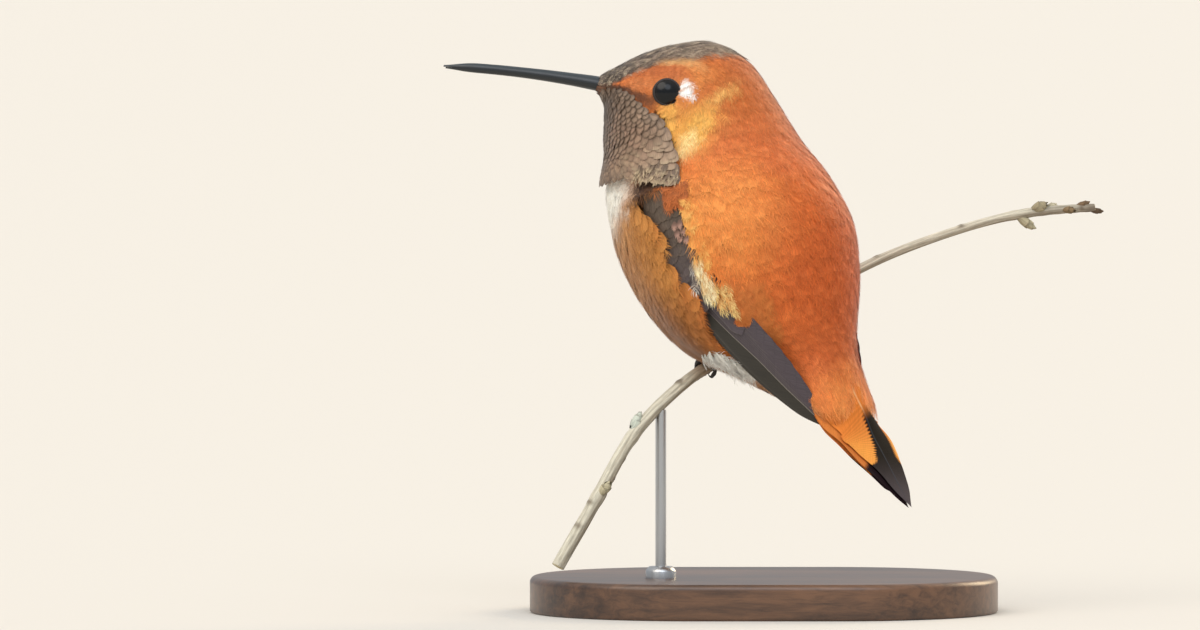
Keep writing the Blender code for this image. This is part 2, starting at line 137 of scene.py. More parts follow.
def section(station):
    """Centre, dorsal axis, left axis, half depth and half width of the body at each station."""
    at = along(SECTIONS, np.asarray(station, float) / LAST)
    x, z, tilt, depth, width, turn = (at[..., k] for k in range(6))
    turn, tilt, none = np.radians(HEAD_TURN * turn), np.radians(tilt), np.zeros_like(x)
    ahead = np.stack([np.cos(turn), np.sin(turn), none], -1)
    left = np.stack([-np.sin(turn), np.cos(turn), none], -1)
    back = np.stack([none, none, np.sin(tilt)], -1) - ahead * np.cos(tilt)[..., None]
    centre = np.stack([none + NECK_X, none, z], -1) + ahead * (x - NECK_X)[..., None]
    return centre, back, left, depth[..., None], width[..., None]


TAIL_ROOT = section(LAST)[0]
TAIL_AHEAD = unit(TAIL_TIP - TAIL_ROOT)


def body_at(station, angle, lift=0.0):
    """Points over the coat's outline. The angle runs in degrees from the back's midline to the left."""
    centre, back, left, depth, width = section(station)
    turn = np.radians(np.asarray(angle, float))[..., None]
    up, out = np.cos(turn), np.sin(turn)
    outward = unit(back * (up / depth) + left * (out / width))
    beyond = np.maximum(np.asarray(station, float) - LAST, 0)[..., None] * (3.5 * TAIL_AHEAD)
    point = centre + back * (depth * up) + left * (width * out) + beyond
    return point + outward * np.asarray(lift, float)[..., None]


def coat_length(station, angle):
    """How long the feathers are, which blends from the back's to the front's over the sides."""
    front = smooth(60, 130, np.abs(angle))
    back_length, front_length = (along(x, station / LAST) for x in (BACK_LENGTHS, FRONT_LENGTHS))
    return back_length + (front_length - back_length) * front


def blob(station, angle, at, reach, soft):
    """1 in an oval patch of the coat, alike on both sides, falling softly to 0 round it."""
    far = np.hypot((station - at[0]) / reach[0], (np.abs(angle) - at[1]) / reach[1])
    return 1 - smooth(1 - soft, 1 + soft, far)


WHITE_SPOT = (4.54, 71.4)
CROWN_EDGE = [93, 91, 71, 50, 43, -5, -20]  # degrees from the midline at each station from the bill
PATCHES = [  # colour, (station, angle), reach along and round, softness, strength
    ("CF7437", (5.6, 0), (1.7, 75), 0.4, 0.8),  # nape
    ("DB763C", (7.2, 30), (0.8, 60), 0.5, 0.7),  # mantle
    ("EE9A48", (8.5, 60), (1.3, 26), 0.7, 0.8),  # lit side of the back
    ("F0AE58", (8.4, 80), (0.9, 6), 0.7, 0.8),  # its golden edge over the wing
    ("C85B20", (10.0, 5), (1.5, 48), 0.6, 0.8),  # lower back
    ("C9622A", (12.0, 20), (1.0, 60), 0.6, 0.8),  # rump
    ("F0984C", (13.9, 0), (1.2, 100), 0.6, 0.9),  # tail coverts
    ("C2823C", (9.2, 145), (3.6, 58), 0.2, 1.0),  # flank and belly
    ("9A5C22", (10.7, 118), (0.9, 30), 0.5, 0.85),  # lower flank, painted darker: painted shade low on the body
    ("CB9558", (8.0, 146), (0.8, 30), 0.5, 0.8),  # edge of the breast
    ("FFFCF2", (7.1, 162), (1.1, 50), 0.3, 1.0),  # white breast
    ("3A2416", (7.1, 98), (0.7, 10), 0.5, 0.95),  # painted shade in the hollow under the shield's corner
    ("F4F1E8", (12.0, 110), (0.3, 18), 0.5, 0.9),  # white vent
    ("D29A63", (13.4, 180), (1.0, 80), 0.4, 0.9),  # under tail coverts
    ("E08C44", (4.9, 76), (1.5, 30), 0.5, 0.9),  # side of the head
    ("C96F38", (3.1, 66), (1.1, 9), 0.4, 0.95),  # brow
    ("EFC07C", (3.3, 51), (0.9, 6), 0.7, 0.75),  # buff line between brow and crown
    ("D08048", (2.6, 84), (0.8, 9), 0.5, 0.8),  # before the eye
    ("F3B658", (5.1, 90), (0.9, 7), 0.6, 0.9),  # below the eye, along the shield
    ("F6C46E", (5.42, 52), (0.17, 17), 0.6, 0.85),  # pale streaks behind the eye
    ("F2B45A", (5.95, 60), (0.22, 9), 0.7, 0.8),
    ("C8692C", (5.0, 58), (0.2, 12), 0.7, 0.7),  # and brown ones between them
    ("CC6A28", (5.7, 46), (0.2, 14), 0.7, 0.7),
    ("F6C05A", (5.95, 73), (0.65, 14), 0.7, 0.85),  # painted highlight on the cheek, pale yellow, brightest in the patch below
    ("FFEBA6", (6.35, 76), (0.32, 7), 0.7, 1.0),
    ("FFFCF4", WHITE_SPOT, (0.3, 4.4), 0.3, 1.0),  # white spot behind the eye
    ("6B4A36", (1.0, 142), (1.8, 48), 0.2, 1.0),  # brown chin under the shield's edge
    ("3A2416", (1.1, 96), (1.5, 5), 0.5, 0.95),  # dark line from the mouth's corner
    ("54331F", (2.2, 99), (1.3, 6), 0.6, 0.9),
    ("6A3D22", (3.2, 98), (0.9, 5), 0.7, 0.85),  # and the brown down the shield's edge
]


def crown_share(station, angle):
    """1 on the dark cap, falling to 0 over its border."""
    edge = along(CROWN_EDGE, station / (len(CROWN_EDGE) - 1))
    return smooth(6, -6, np.abs(angle) - edge) * smooth(5.6, 4.8, station)


def plumage(station, angle):
    """The coat's colour, as linear numbers."""
    station, angle = np.broadcast_arrays(np.asarray(station, float), np.asarray(angle, float))
    colour = linear("DF7630") + 0 * station[..., None]
    for code, at, reach, soft, strength in PATCHES:
        colour = tinged(colour, code, blob(station, angle, at, reach, soft) * strength)
    grey = between("665950", "8F7967", smooth(0.8, 2.6, station))
    return colour + (grey - colour) * crown_share(station, angle)[..., None]


def to_row(points):
    """Places from the bird's frame to the row frame."""
    return turned(points) + BIRD_AT


def turned(vectors):
    """Directions from the bird's frame to the row frame."""
    c, s = math.cos(BIRD_HEADING), math.sin(BIRD_HEADING)
    x, y, z = (vectors[..., k] for k in range(3))
    return np.stack([x * c - y * s, x * s + y * c, z], -1)


def new_piece(name, points, loops, material, colours=None, maps=None, normals=None, sizes=None):
    """A mesh object from points in millimetres and its faces' corners, four a face without sizes."""
    mesh = bpy.data.meshes.new(name)
    if colours is not None:
        colours = np.broadcast_to(colours, points.shape)
    points, loops = points.reshape(-1, 3), np.ravel(loops)
    sizes = np.full(len(loops) // 4, 4) if sizes is None else sizes
    mesh.vertices.add(len(points))
    mesh.vertices.foreach_set("co", (points * MM).astype(np.float32).ravel())
    mesh.loops.add(len(loops))
    mesh.loops.foreach_set("vertex_index", loops.astype(np.int32))
    mesh.polygons.add(len(sizes))
    mesh.polygons.foreach_set("loop_start", (np.cumsum(sizes) - sizes).astype(np.int32))
    mesh.update(calc_edges=True)
    mesh.shade_smooth()
    for title, uv in (maps or {}).items():
        layer = mesh.uv_layers.new(name=title)
        layer.uv.foreach_set("vector", uv.reshape(-1, 2)[loops].astype(np.float32).ravel())
    if colours is not None:
        layer = mesh.color_attributes.new(name="pigment", type="FLOAT_COLOR", domain="POINT")
        whole = np.ones((len(points), 4), np.float32)
        whole[:, :3] = colours.reshape(-1, 3)
        layer.data.foreach_set("color", whole.ravel())
    if normals is not None:
        mesh.normals_split_custom_set_from_vertices(unit(normals.reshape(-1, 3)))
    mesh.materials.append(material)
    made = bpy.data.objects.new(name, mesh)
    bpy.context.scene.collection.objects.link(made)
    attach(made, "root")
    return made


def grid_faces(rows, columns, closed=False, flip=False):
    """Corners of the quads of a grid of points, joined round its columns if closed."""
    r, c = np.meshgrid(np.arange(rows - 1), np.arange(columns - (not closed)), indexing="ij")
    a, b = r * columns + c, r * columns + (c + 1) % columns
    quads = np.stack([a, b, b + columns, a + columns], -1).reshape(-1, 4)
    return quads[:, ::-1] if flip else quads


def grid_piece(name, points, material, colours=None, maps=None, closed=False, flip=False):
    """A piece from one grid of points."""
    return new_piece(name, points, grid_faces(*points.shape[:2], closed, flip), material, colours, maps)


def wire(tree, made, links):
    """Sets a node's inputs. Each value is a number, a colour, or another node's output to link."""
    for key, value in links.items():
        if isinstance(value, bpy.types.NodeSocket):
            tree.links.new(value, made.inputs[key])
        else:
            made.inputs[key].default_value = value


def add(tree, kind, links=None, **settings):
    """Adds one node with its settings and links."""
    made = tree.nodes.new("ShaderNode" + kind)
    for key, value in settings.items():
        setattr(made, key, value)
    wire(tree, made, links or {})
    return made


def new_material(name):
    """A new material, its node tree and its surface shader."""
    made = bpy.data.materials.new(name)
    made.use_nodes = True
    return made, made.node_tree, made.node_tree.nodes["Principled BSDF"]


def rgba(code):
    """An sRGB hex colour as a socket takes it."""
    return (*linear(code), 1.0)


def eye_axis(side):
    """The middle of one eyeball, and the way that it looks."""
    centre = body_at(EYE_STATION, EYE_ANGLE * side, -EYE_SINK)
    return centre, unit(body_at(EYE_STATION, EYE_ANGLE * side, 1.0) - centre)


def eye_distance(points, side):
    """How far points of the bird lie from the axis of one eye, in millimetres."""
    centre, axis = eye_axis(side)
    away = points - centre
    return np.linalg.norm(away - (away @ axis)[..., None] * axis, axis=-1)


# Thin dry bird skin, tanned in place: matt, tinted like the coat and mottled over 2.5 mm, with goose
# pimples 0.6 mm apart.
skin_finish, tree, shader = new_material("bird_skin_goose_pimpled")
pigment = add(tree, "VertexColor", layer_name="pigment")
coords = add(tree, "TexCoord")
pimples = add(tree, "TexVoronoi", {"Vector": coords.outputs["Object"], "Scale": 1600.0})
mottle = add(tree, "TexNoise", {"Vector": coords.outputs["Object"], "Scale": 400.0, "Detail": 4.0})
ends = {0: mottle.outputs["Fac"], 6: pigment.outputs["Color"], 7: rgba("54301A")}
darker = add(tree, "Mix", ends, data_type="RGBA")
bump = add(tree, "Bump", {"Height": pimples.outputs["Distance"], "Strength": 0.4, "Distance": 0.05 * MM})
wire(tree, shader, {"Base Color": darker.outputs[2], "Roughness": 0.75, "Normal": bump.outputs["Normal"]})

COAT_SHARE, COAT_LEAST = 0.2, 0.12  # the skin lies under the outline by this share of a feather, and more
SOCKET_DEPTH, MOUTH_DEPTH, MOUTH_ANGLE = 1.6, 0.25, 96


def body_unwrap(station, angle):
    """The skin's own unwrap: round the body one way and along it the other."""
    return angle / 360 + 0.5, station / LAST * 0.98 + 0.01


# The head's stations stand closer, for the sockets.
stations = np.concatenate([np.linspace(0.02, 5.4, 150), np.linspace(5.44, LAST, 150)])[:, None]
angles = np.linspace(-180, 180, 193)[None, :]
depth = COAT_SHARE * coat_length(stations, angles) + COAT_LEAST
for side in (1, -1):
    near = eye_distance(body_at(stations, angles), side)
    depth = depth + SOCKET_DEPTH * smooth(1.6, 1.35, near) * (np.sign(angles) == side)
mouth = smooth(3.5, 0, np.abs(np.abs(angles) - MOUTH_ANGLE)) * smooth(2.4, 1.6, stations)
points = body_at(stations, angles, -depth - MOUTH_DEPTH * mouth)
unwrap = np.stack(np.broadcast_arrays(*body_unwrap(stations, angles)), -1)
colours = plumage(stations, angles) * 0.75
skin = grid_piece("skin", to_row(points), skin_finish, colours, {"OFBake": unwrap})
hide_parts("head", "neck", "trunk", "tail_coverts")

# Eyes ---------------------------------------------------------------------------------------------------
# Large dark brown eyes, each a wet ball sunk in its socket, ringed by a thin bare lid with a row of tiny
# bead-like feathers.

# Cornea over a nearly black iris: a hard wet gloss, with the brown only showing near the rim, in flecks
# of 0.4 mm. The ball's blue-grey tinge in its colour is a painted reflection of the sky.
eye_finish, tree, shader = new_material("eye_wet_cornea")
pigment = add(tree, "VertexColor", layer_name="pigment")
coords = add(tree, "TexCoord")
rays = add(tree, "TexNoise", {"Vector": coords.outputs["Object"], "Scale": 2600.0, "Detail": 3.0})
ends = {0: rays.outputs["Fac"], 6: pigment.outputs["Color"], 7: rgba("050607")}
flecks = add(tree, "Mix", ends, data_type="RGBA")
wire(
    tree,
    shader,
    {
        "Base Color": flecks.outputs[2],
        "Roughness": 0.22,
        "IOR": 1.38,
        "Specular IOR Level": 0.3,
        "Coat Weight": 0.25,
        "Coat Roughness": 0.15,
    },
)

# Bare eyelid: dark grey-brown, leathery and a little moist, in creases 0.2 mm apart.
lid_finish, tree, shader = new_material("bare_eyelid_skin")
coords = add(tree, "TexCoord")
creases = add(tree, "TexNoise", {"Vector": coords.outputs["Object"], "Scale": 5200.0, "Detail": 4.0})
ends = {0: creases.outputs["Fac"], 6: rgba("0B0909"), 7: rgba("2E2724")}
tint = add(tree, "Mix", ends, data_type="RGBA")
bump = add(tree, "Bump", {"Height": creases.outputs["Fac"], "Strength": 0.5, "Distance": 0.04 * MM})
wire(tree, shader, {"Base Color": tint.outputs[2], "Roughness": 0.5, "Normal": bump.outputs["Normal"]})

LID_EDGE, LID_WIDTH, LID_BEADS = 43.0, 9.0, 44  # degrees off the eye's axis, and how many beads
LID_ROLL, LID_BEAD, LID_SKIRT = 0.08, 0.05, 0.8  # heights of its roll and beads, drop of its outer edge


def on_ball(side, polar, turn, radius):
    """Points round one eye, some degrees off its axis."""
    centre, axis = eye_axis(side)
    level = unit(np.cross(axis, [0, 0, 1]))
    upright = np.cross(level, axis)
    polar, turn = np.radians(polar)[..., None], np.radians(turn)[..., None]
    ring = level * np.cos(turn) + upright * np.sin(turn)
    return centre + (axis * np.cos(polar) + ring * np.sin(polar)) * np.asarray(radius)[..., None]


for side, label in ((1, "left"), (-1, "right")):
    polar = np.linspace(0.5, LID_EDGE + 0.8 * LID_WIDTH, 60)[:, None]
    turn = np.linspace(0, 360, 72, endpoint=False)[None, :]
    points = to_row(on_ball(side, polar, turn, EYE_RADIUS))
    # Black tinged blue-grey as a painted reflection of the sky, turning brown towards the lid.
    colours = between("0D1217", "33200F", smooth(30, 34, polar) * (0.2 + 0.8 * smooth(38, 48, polar)))
    eye = grid_piece(f"eyeball_{label}", points, eye_finish, colours, closed=True, flip=side < 0)
    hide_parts(f"eye_{label}")

    reach = np.linspace(0, 1, 14)[:, None]
    turn = np.linspace(0, 360, 360, endpoint=False)[None, :]
    bead = np.maximum(0, np.cos(np.radians(turn * LID_BEADS))) * np.exp(-(((reach - 0.42) / 0.12) ** 2))
    roll = LID_ROLL * np.sin(np.pi * np.minimum(reach * 1.5, 1))
    polar = LID_EDGE + LID_WIDTH * np.minimum(reach / 0.7, 1)
    points = on_ball(side, polar, turn, EYE_RADIUS + 0.02 + roll + LID_BEAD * bead)
    points = to_row(points - eye_axis(side)[1] * (LID_SKIRT * smooth(0.6, 1, reach))[..., None])
    lid = grid_piece(f"eyelid_{label}", points, lid_finish, closed=True, flip=side < 0)

# Bill ---------------------------------------------------------------------------------------------------
# Two long mandibles of horn that meet on one gently drooping line, with a low ridge along the top and a
# fine edge where they close. They grow from the skull and show no join there.

# Keratin horn, grown and worn smooth: black with a satin gloss. The cool pale sheen along the bill's top is
# a painted reflection in its colour. Its growth lines are 0.3 mm wide and eight times as long.
horn_finish, tree, shader = new_material("bill_horn_satin")
coords = add(tree, "TexCoord")
stretch = add(tree, "Mapping", {"Vector": coords.outputs["Object"], "Scale": (0.12, 1.0, 1.0)})
growth = add(tree, "TexNoise", {"Vector": stretch.outputs["Vector"], "Scale": 3500.0, "Detail": 4.0})
pigment = add(tree, "VertexColor", layer_name="pigment")
ends = {0: growth.outputs["Fac"], 6: pigment.outputs["Color"], 7: rgba("11161A")}
tint = add(tree, "Mix", ends, data_type="RGBA")
rough = add(tree, "MapRange", {"Value": growth.outputs["Fac"], "To Min": 0.26, "To Max": 0.46})
bump = add(tree, "Bump", {"Height": growth.outputs["Fac"], "Strength": 0.25, "Distance": 0.03 * MM})
wire(
    tree,
    shader,
    {
        "Base Color": tint.outputs[2],
        "Roughness": rough.outputs["Result"],
        "IOR": 1.55,
        "Normal": bump.outputs["Normal"],
    },
)

BILL_LENGTH, BILL_DROOP = 17.1, 1.15
BILL_ROOT = -0.06  # how far it starts inside the forehead, as a share of its length
BILL_DEPTHS = [1.5, 1.3, 1.17, 1.08, 1.05, 0.95, 0.3]
MANDIBLES = [  # name, side of the mouth's line, shares of the depth and width, strength of the painted sheen on its top
    ("upper", 1, 0.58, 1.0, 0.8),
    ("lower", -1, 0.42, 0.93, 0.0),
]
root, over, left, _, _ = section(0)
ahead = np.cross(left, over)
for name, half, depth_share, width_share, painted_sheen in MANDIBLES:
    if name == "upper":  # its rings stand closer towards the tip
        share = 1 - (1 - np.linspace(BILL_ROOT, 1, 90)[:, None]) ** 1.2
    else:
        share = np.linspace(BILL_ROOT, 0.985, 90)[:, None]
    turn = np.radians(np.linspace(-6, 186, 33))[None, :]
    deep = along(BILL_DEPTHS, share) * depth_share
    wide = along(BILL_DEPTHS, share) * (1.15 - 0.2 * share) / 2 * width_share
    ridge = 1 + 0.05 * np.exp(-(((turn - math.pi / 2) / 0.35) ** 2)) * smooth(0.8, 0.2, share)
    height = 0.03 + np.sin(turn) * deep * ridge
    centre = root + ahead * (BILL_LENGTH * share)[..., None] - over * (BILL_DROOP * share**2)[..., None]
    points = centre + left * (np.cos(turn) * wide)[..., None] + over * (half * height)[..., None]
    # The upper mandible's top is painted pale blue-grey: a painted sheen from the sky.
    colours = between("181E22", "46535B", smooth(0.2, 0.9, np.sin(turn)) * painted_sheen)
    piece = grid_piece(f"mandible_{name}", to_row(points), horn_finish, colours, flip=half > 0)
    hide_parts(f"bill_{name}")

# Coat ---------------------------------------------------------------------------------------------------
# Some thousands of contour feathers, each rooted in the skin and lying tailwards over the next: a small
# firm vane with loose barbs that fan out at its edge. They are shortest at the bill and longest over the
# rump, flow round the eyes, and carry the skin's markings.

# rows and widths give the vane's outline as shares of the feather's length and half width. barbs is how
# many loose ones stand on each side, and soft is how far the light takes the body's smooth form rather
# than each feather's own.
Plume = namedtuple("Plume", "rows widths columns barbs barb_width loose camber soft")
CONTOUR = Plume([0, 0.25, 0.5, 0.7], [0.2, 0.75, 0.8, 0.35], 3, 16, 0.055, 0.8, 0.03, 0.9)


def axes_at(surface, u, v, steps):
    """Unit normal and the two partial derivatives of a surface."""
    du = (surface(u + steps[0], v) - surface(u - steps[0], v)) / (2 * steps[0])
    dv = (surface(u, v + steps[1]) - surface(u, v - steps[1])) / (2 * steps[1])
    return unit(np.cross(dv, du)), du, dv


def dot(a, b):
    """Dot products along the last axis."""
    return (a * b).sum(-1)


def steps_for(way, du, dv):
    """How far u and v change for a way in millimetres along a surface with these partial derivatives."""
    guu, guv, gvv = dot(du, du), dot(du, dv), dot(dv, dv)
    whole = guu * gvv - guv**2
    a, b = dot(way, du), dot(way, dv)
    return (a * gvv - b * guv) / whole, (b * guu - a * guv) / whole


def scatter(surface, u_range, v_range, steps, spacing, seed):
    """Roots spread over a surface at random, none nearer to another than the spacing there."""
    rng = np.random.default_rng(seed)
    grid = np.meshgrid(np.linspace(*u_range, 80), np.linspace(*v_range, 80), indexing="ij")
    _, du, dv = axes_at(surface, *grid, steps)
    dense = np.linalg.norm(np.cross(du, dv), axis=-1) / spacing(*grid) ** 2
    cell = (u_range[1] - u_range[0]) * (v_range[1] - v_range[0])
    count = int(dense.max() * cell * 9)
    u, v = rng.uniform(*u_range, count), rng.uniform(*v_range, count)
    _, du, dv = axes_at(surface, u, v, steps)
    gap = spacing(u, v)
    chance = np.linalg.norm(np.cross(du, dv), axis=-1) / gap**2 / dense.max()
    kept = rng.uniform(0, 1, count) < chance
    u, v, gap = u[kept], v[kept], gap[kept]
    points, side = surface(u, v), gap.max()
    keys = np.floor(points / side).astype(int).tolist()
    points, gaps, taken, chosen = points.tolist(), gap.tolist(), {}, []
    around = [(a, b, c) for a in (-1, 0, 1) for b in (-1, 0, 1) for c in (-1, 0, 1)]
    for i, ((x, y, z), (p, q, r), g) in enumerate(zip(points, keys, gaps)):
        near = (w for a, b, c in around for w in taken.get((p + a, q + b, r + c), ()))
        if all((x - w[0]) ** 2 + (y - w[1]) ** 2 + (z - w[2]) ** 2 >= g * g for w in near):
            taken.setdefault((p, q, r), []).append((x, y, z))
            chosen.append(i)
    return u[chosen], v[chosen]


def grow(surface, steps, u, v, length, width, lie, root_lift, tip_lift, plume, seed):
    """Feathers on a surface. Returns their points, normals, faces and the place of each point on them."""
    rng = np.random.default_rng(seed)
    count = len(u)
    measures = (length, width, lie, root_lift, tip_lift)
    measures = (np.broadcast_to(np.asarray(x, float), (count,))[:, None] for x in measures)
    length, width, lie, root_lift, tip_lift = measures
    normal, du, dv = axes_at(surface, u, v, steps)
    first = unit(du)
    second = np.cross(first, normal)
    lie = np.radians(lie)
    ahead = first * np.cos(lie) + second * np.sin(lie)
    across = second * np.cos(lie) - first * np.sin(lie)
    ux, vx = (step[:, None] for step in steps_for(ahead, du, dv))
    uy, vy = (step[:, None] for step in steps_for(across, du, dv))

    # The vane: a small grid with its shaft in the middle.
    spread = np.linspace(-1, 1, plume.columns)
    x = np.repeat(plume.rows, plume.columns)[None, :] + np.zeros((count, 1))
    y = np.outer(plume.widths, spread).ravel()[None, :] + np.zeros((count, 1))
    flat = np.zeros_like(x)
    vane = grid_faces(len(plume.rows), plume.columns)

    # The barbs: ribbons of a quad and a triangle from the shaft to the feather's outline.
    n = plume.barbs
    root = np.tile(0.1 + 0.72 * np.arange(n) / (n - 1), 2)[None, :]
    side = np.repeat([-1.0, 1.0], n)[None, :]
    jitter = rng.normal(0, plume.loose, (4, count, 2 * n))
    tip = root + 0.3 + 0.05 * jitter[0]
    out = side * np.sqrt(np.clip(1 - ((tip - 0.42) / 0.68) ** 2, 0.0, 1)) * (1 + 0.16 * jitter[1])
    out = out + 0.05 * jitter[2]
    raised = 0.01 + 0.02 * np.abs(jitter[3])
    dx, dy = (tip - root) * length, out * width
    long = np.maximum(np.hypot(dx, dy), 1e-6)
    thick = plume.barb_width * (0.25 + 0.07 * length)
    px, py = -dy / long * thick, dx / long * thick
    mid_x, mid_y = root + 0.5 * (tip - root), 0.66 * out
    zero = np.zeros_like(tip)

    def with_barbs(on_vane, *parts):
        """Values on the vane's corners, then on the five corners of each barb."""
        on_barbs = np.stack(np.broadcast_arrays(*parts), -1).reshape(count, -1)
        return np.concatenate([on_vane, on_barbs], 1)

    x = with_barbs(x, root + zero, root + zero, mid_x, mid_x, tip)
    y = with_barbs(y, zero, zero, mid_y, mid_y, out)
    ox = with_barbs(flat, px, -px, px, -px, zero)
    oy = with_barbs(flat, py, -py, py, -py, zero)
    extra = with_barbs(flat, zero, zero, raised * 0.6, raised * 0.6, raised)
    first_barb = plume.columns * len(plume.rows)
    start = first_barb + 5 * np.arange(2 * n)[:, None]
    loops = np.concatenate([vane.ravel(), (start + np.array([0, 2, 3, 1, 2, 4, 3])).ravel()])
    sizes = np.concatenate([np.full(len(vane), 4), np.tile([4, 3], 2 * n)])

    share = np.clip(x, 0, 1.15)
    rise = tip_lift - root_lift
    lift = root_lift + rise * share**0.85 - plume.camber * width * y**2 + extra
    slope_x = rise * 0.85 * np.maximum(share, 0.15) ** -0.15 / length
    slope_y = -2 * plume.camber * y
    x_mm, y_mm = x * length + ox, y * width + oy
    at_u = u[:, None] + ux * x_mm + uy * y_mm
    at_v = v[:, None] + vx * x_mm + vy * y_mm
    smooth_normal, _, _ = axes_at(surface, at_u, at_v, steps)
    tilt = slope_x[..., None] * ahead[:, None, :] + slope_y[..., None] * across[:, None, :]
    corners = x.shape[1]
    strand = np.zeros((count, corners))
    strand[:, first_barb:] = np.repeat(rng.normal(0, 1, (count, 2 * n)), 5, axis=1)
    return {
        "strand": strand,  # a random number for each barb, and 0 on the vane
        "points": surface(at_u, at_v, lift),
        "normals": smooth_normal - (1 - plume.soft) * tilt,
        "loops": (loops[None, :] + corners * np.arange(count)[:, None]).ravel(),
        "sizes": np.tile(sizes, count),
        "x": x,
        "y": y,
        "u": at_u,
        "v": at_v,
        "vane": np.stack([x_mm + 37 * rng.random((count, 1)), y_mm + 0 * x_mm], -1),
    }


TUFT_PATCH = 0.003


def tuft_map(feathers, u_share, v_share):
    """Each feather as a small patch at its root's place on the skin's unwrap."""
    u = u_share[:, None] + TUFT_PATCH * (feathers["x"] - 0.5)
    v = v_share[:, None] + TUFT_PATCH * feathers["y"] / 2
    return np.stack(np.broadcast_arrays(u, v), -1)


def mirrored(vectors):
    """From the bird's left side to its right."""
    return vectors * np.array([1, -1, 1])


def feather_piece(name, feathers, colours, root_map, material, mirror=False):
    """One piece of many feathers, whose roots have these places on the unwrap."""
    points, normals, loops, sizes = (feathers[k] for k in ("points", "normals", "loops", "sizes"))
    if mirror:
        points, normals, loops, sizes = mirrored(points), mirrored(normals), loops[::-1], sizes[::-1]
    maps = {"OFBake": tuft_map(feathers, *root_map), "vane": feathers["vane"]}
    points, normals = to_row(points), turned(normals)
    return new_piece(name, points, loops, material, colours, maps, normals, sizes)


def shaded(tree, pattern, middle, shades):
    """The pigment, shaded by the middle part of a pattern."""
    pigment = add(tree, "VertexColor", layer_name="pigment")
    ends = zip(("From Min", "From Max", "To Min", "To Max"), (*middle, *shades))
    shade = add(tree, "MapRange", {"Value": pattern.outputs["Fac"], **dict(ends)})
    product = {0: pigment.outputs["Color"], "Scale": shade.outputs["Result"]}
    return add(tree, "VectorMath", product, operation="SCALE").outputs["Vector"]


# Grown and preened feathers: a soft silk sheen, with fine barbs that streak the colour lengthwise. The
# streaks are drawn a few barbs wide, since single ones are too fine to show.
def feather_finish(name, roughness, sheen, contrast, streak_mm):
    """A finish of feathers that keep their own map along and across the shaft, in millimetres."""
    made, tree, shader = new_material(name)
    own = add(tree, "UVMap", uv_map="vane")
    stretch = add(tree, "Mapping", {"Vector": own.outputs["UV"], "Scale": (0.8, 1 / streak_mm, 1.0)})
    noise = {"Vector": stretch.outputs["Vector"], "Scale": 1.0, "Detail": 3.0}
    streaks = add(tree, "TexNoise", noise, noise_dimensions="2D")
    bump = add(tree, "Bump", {"Height": streaks.outputs["Fac"], "Strength": 0.35, "Distance": 0.04 * MM})
    wire(
        tree,
        shader,
        {
            "Base Color": shaded(tree, streaks, (0.25, 0.75), (1 - contrast, 1 + contrast)),
            "Roughness": roughness,
            "Specular IOR Level": 0.35,
            "Sheen Weight": sheen,
            "Sheen Roughness": 0.4,
            "Normal": bump.outputs["Normal"],
        },
    )
    return made


contour_finish = feather_finish("contour_feather_silk", 0.6, 0.25, 0.22, 0.09)

GORGET_REACH = [58, 73, 79, 80, 77, 75, 82, 89, 96, 102, 104]
GORGET_TOP, GORGET_FOOT, GORGET_CORNER_DROP = 0.3, 5.65, 2.0
SPACINGS = [0.26, 0.3, 0.34, 0.38, 0.44, 0.52, 0.6, 0.68, 0.74, 0.78, 0.78, 0.76, 0.74, 0.72, 0.72]


def gorget_foot(side):
    """The station of the shield's lower edge, from its middle at 0 to its corners at -1 and 1."""
    return GORGET_FOOT + GORGET_CORNER_DROP * np.abs(side) ** 1.3


def under_gorget(station, angle, margin):
    """Whether a root lies under the throat's shield, away from its edges."""
    down = (station - GORGET_TOP) / (GORGET_FOOT + 0.6 - GORGET_TOP)
    reach = along(GORGET_REACH, down)
    side = (180 - np.abs(angle)) / reach
    return (side < 1 - margin / reach) & (station < gorget_foot(side) - 0.6) & (station > GORGET_TOP)


BODY_STEPS = (0.01, 0.1)
# At each half station from 7.5: the wing's height over the body's outline, and the angles to which the
# back's feathers and the flank's feathers reach over it.
WING_RISE = [1.1, 0.9, 0.8, 0.9, 1.2, 1.5, 1.8, 1.9, 1.9]
BACK_EDGE = [77, 77, 78, 79.5, 79, 72, 62, 57, 59]
FLANK_EDGE = [104, 100, 97, 95, 95, 91, 87, 91, 96]


def by_wing(values, station):
    """One of these three lists, read at any station."""
    return along(values, (station - 7.5) / (0.5 * (len(values) - 1)))


def coat_at(station, angle, lift=0.0):
    """Points over the coat, which runs up over the edges of the folded wings."""
    station, angle = np.broadcast_arrays(np.asarray(station, float), np.asarray(angle, float))
    wide = np.abs(angle)
    covers = smooth(58, 70, wide) * smooth(136, 98, wide)
    last = np.where(wide > 90, 12.3, 11.3)
    covers = covers * smooth(7.0, 7.7, station) * smooth(last, last - 0.8, station)
    sink = 1.3 * smooth(13.4, 14.6, station) * smooth(120, 60, wide)
    return body_at(station, angle, lift + by_wing(WING_RISE, station) * covers - sink)


def spacing(station, angle):
    """The gap between roots, which closes round the eyes."""
    points = body_at(station, angle)
    near = np.where(angle > 0, eye_distance(points, 1), eye_distance(points, -1))
    return along(SPACINGS, station / LAST) * (1 - 0.42 * smooth(3.2, 2.2, near))


u, v = scatter(body_at, (0.05, 5.6), (-180, 180), BODY_STEPS, spacing, 1)
u2, v2 = scatter(body_at, (5.6, 14.0), (-180, 180), BODY_STEPS, spacing, 2)
u, v = np.concatenate([u, u2]), np.concatenate([v, v2])
beside = np.where(v > 0, eye_distance(body_at(u, v), 1), eye_distance(body_at(u, v), -1))
wide, ahead = np.abs(v), u + 0.45
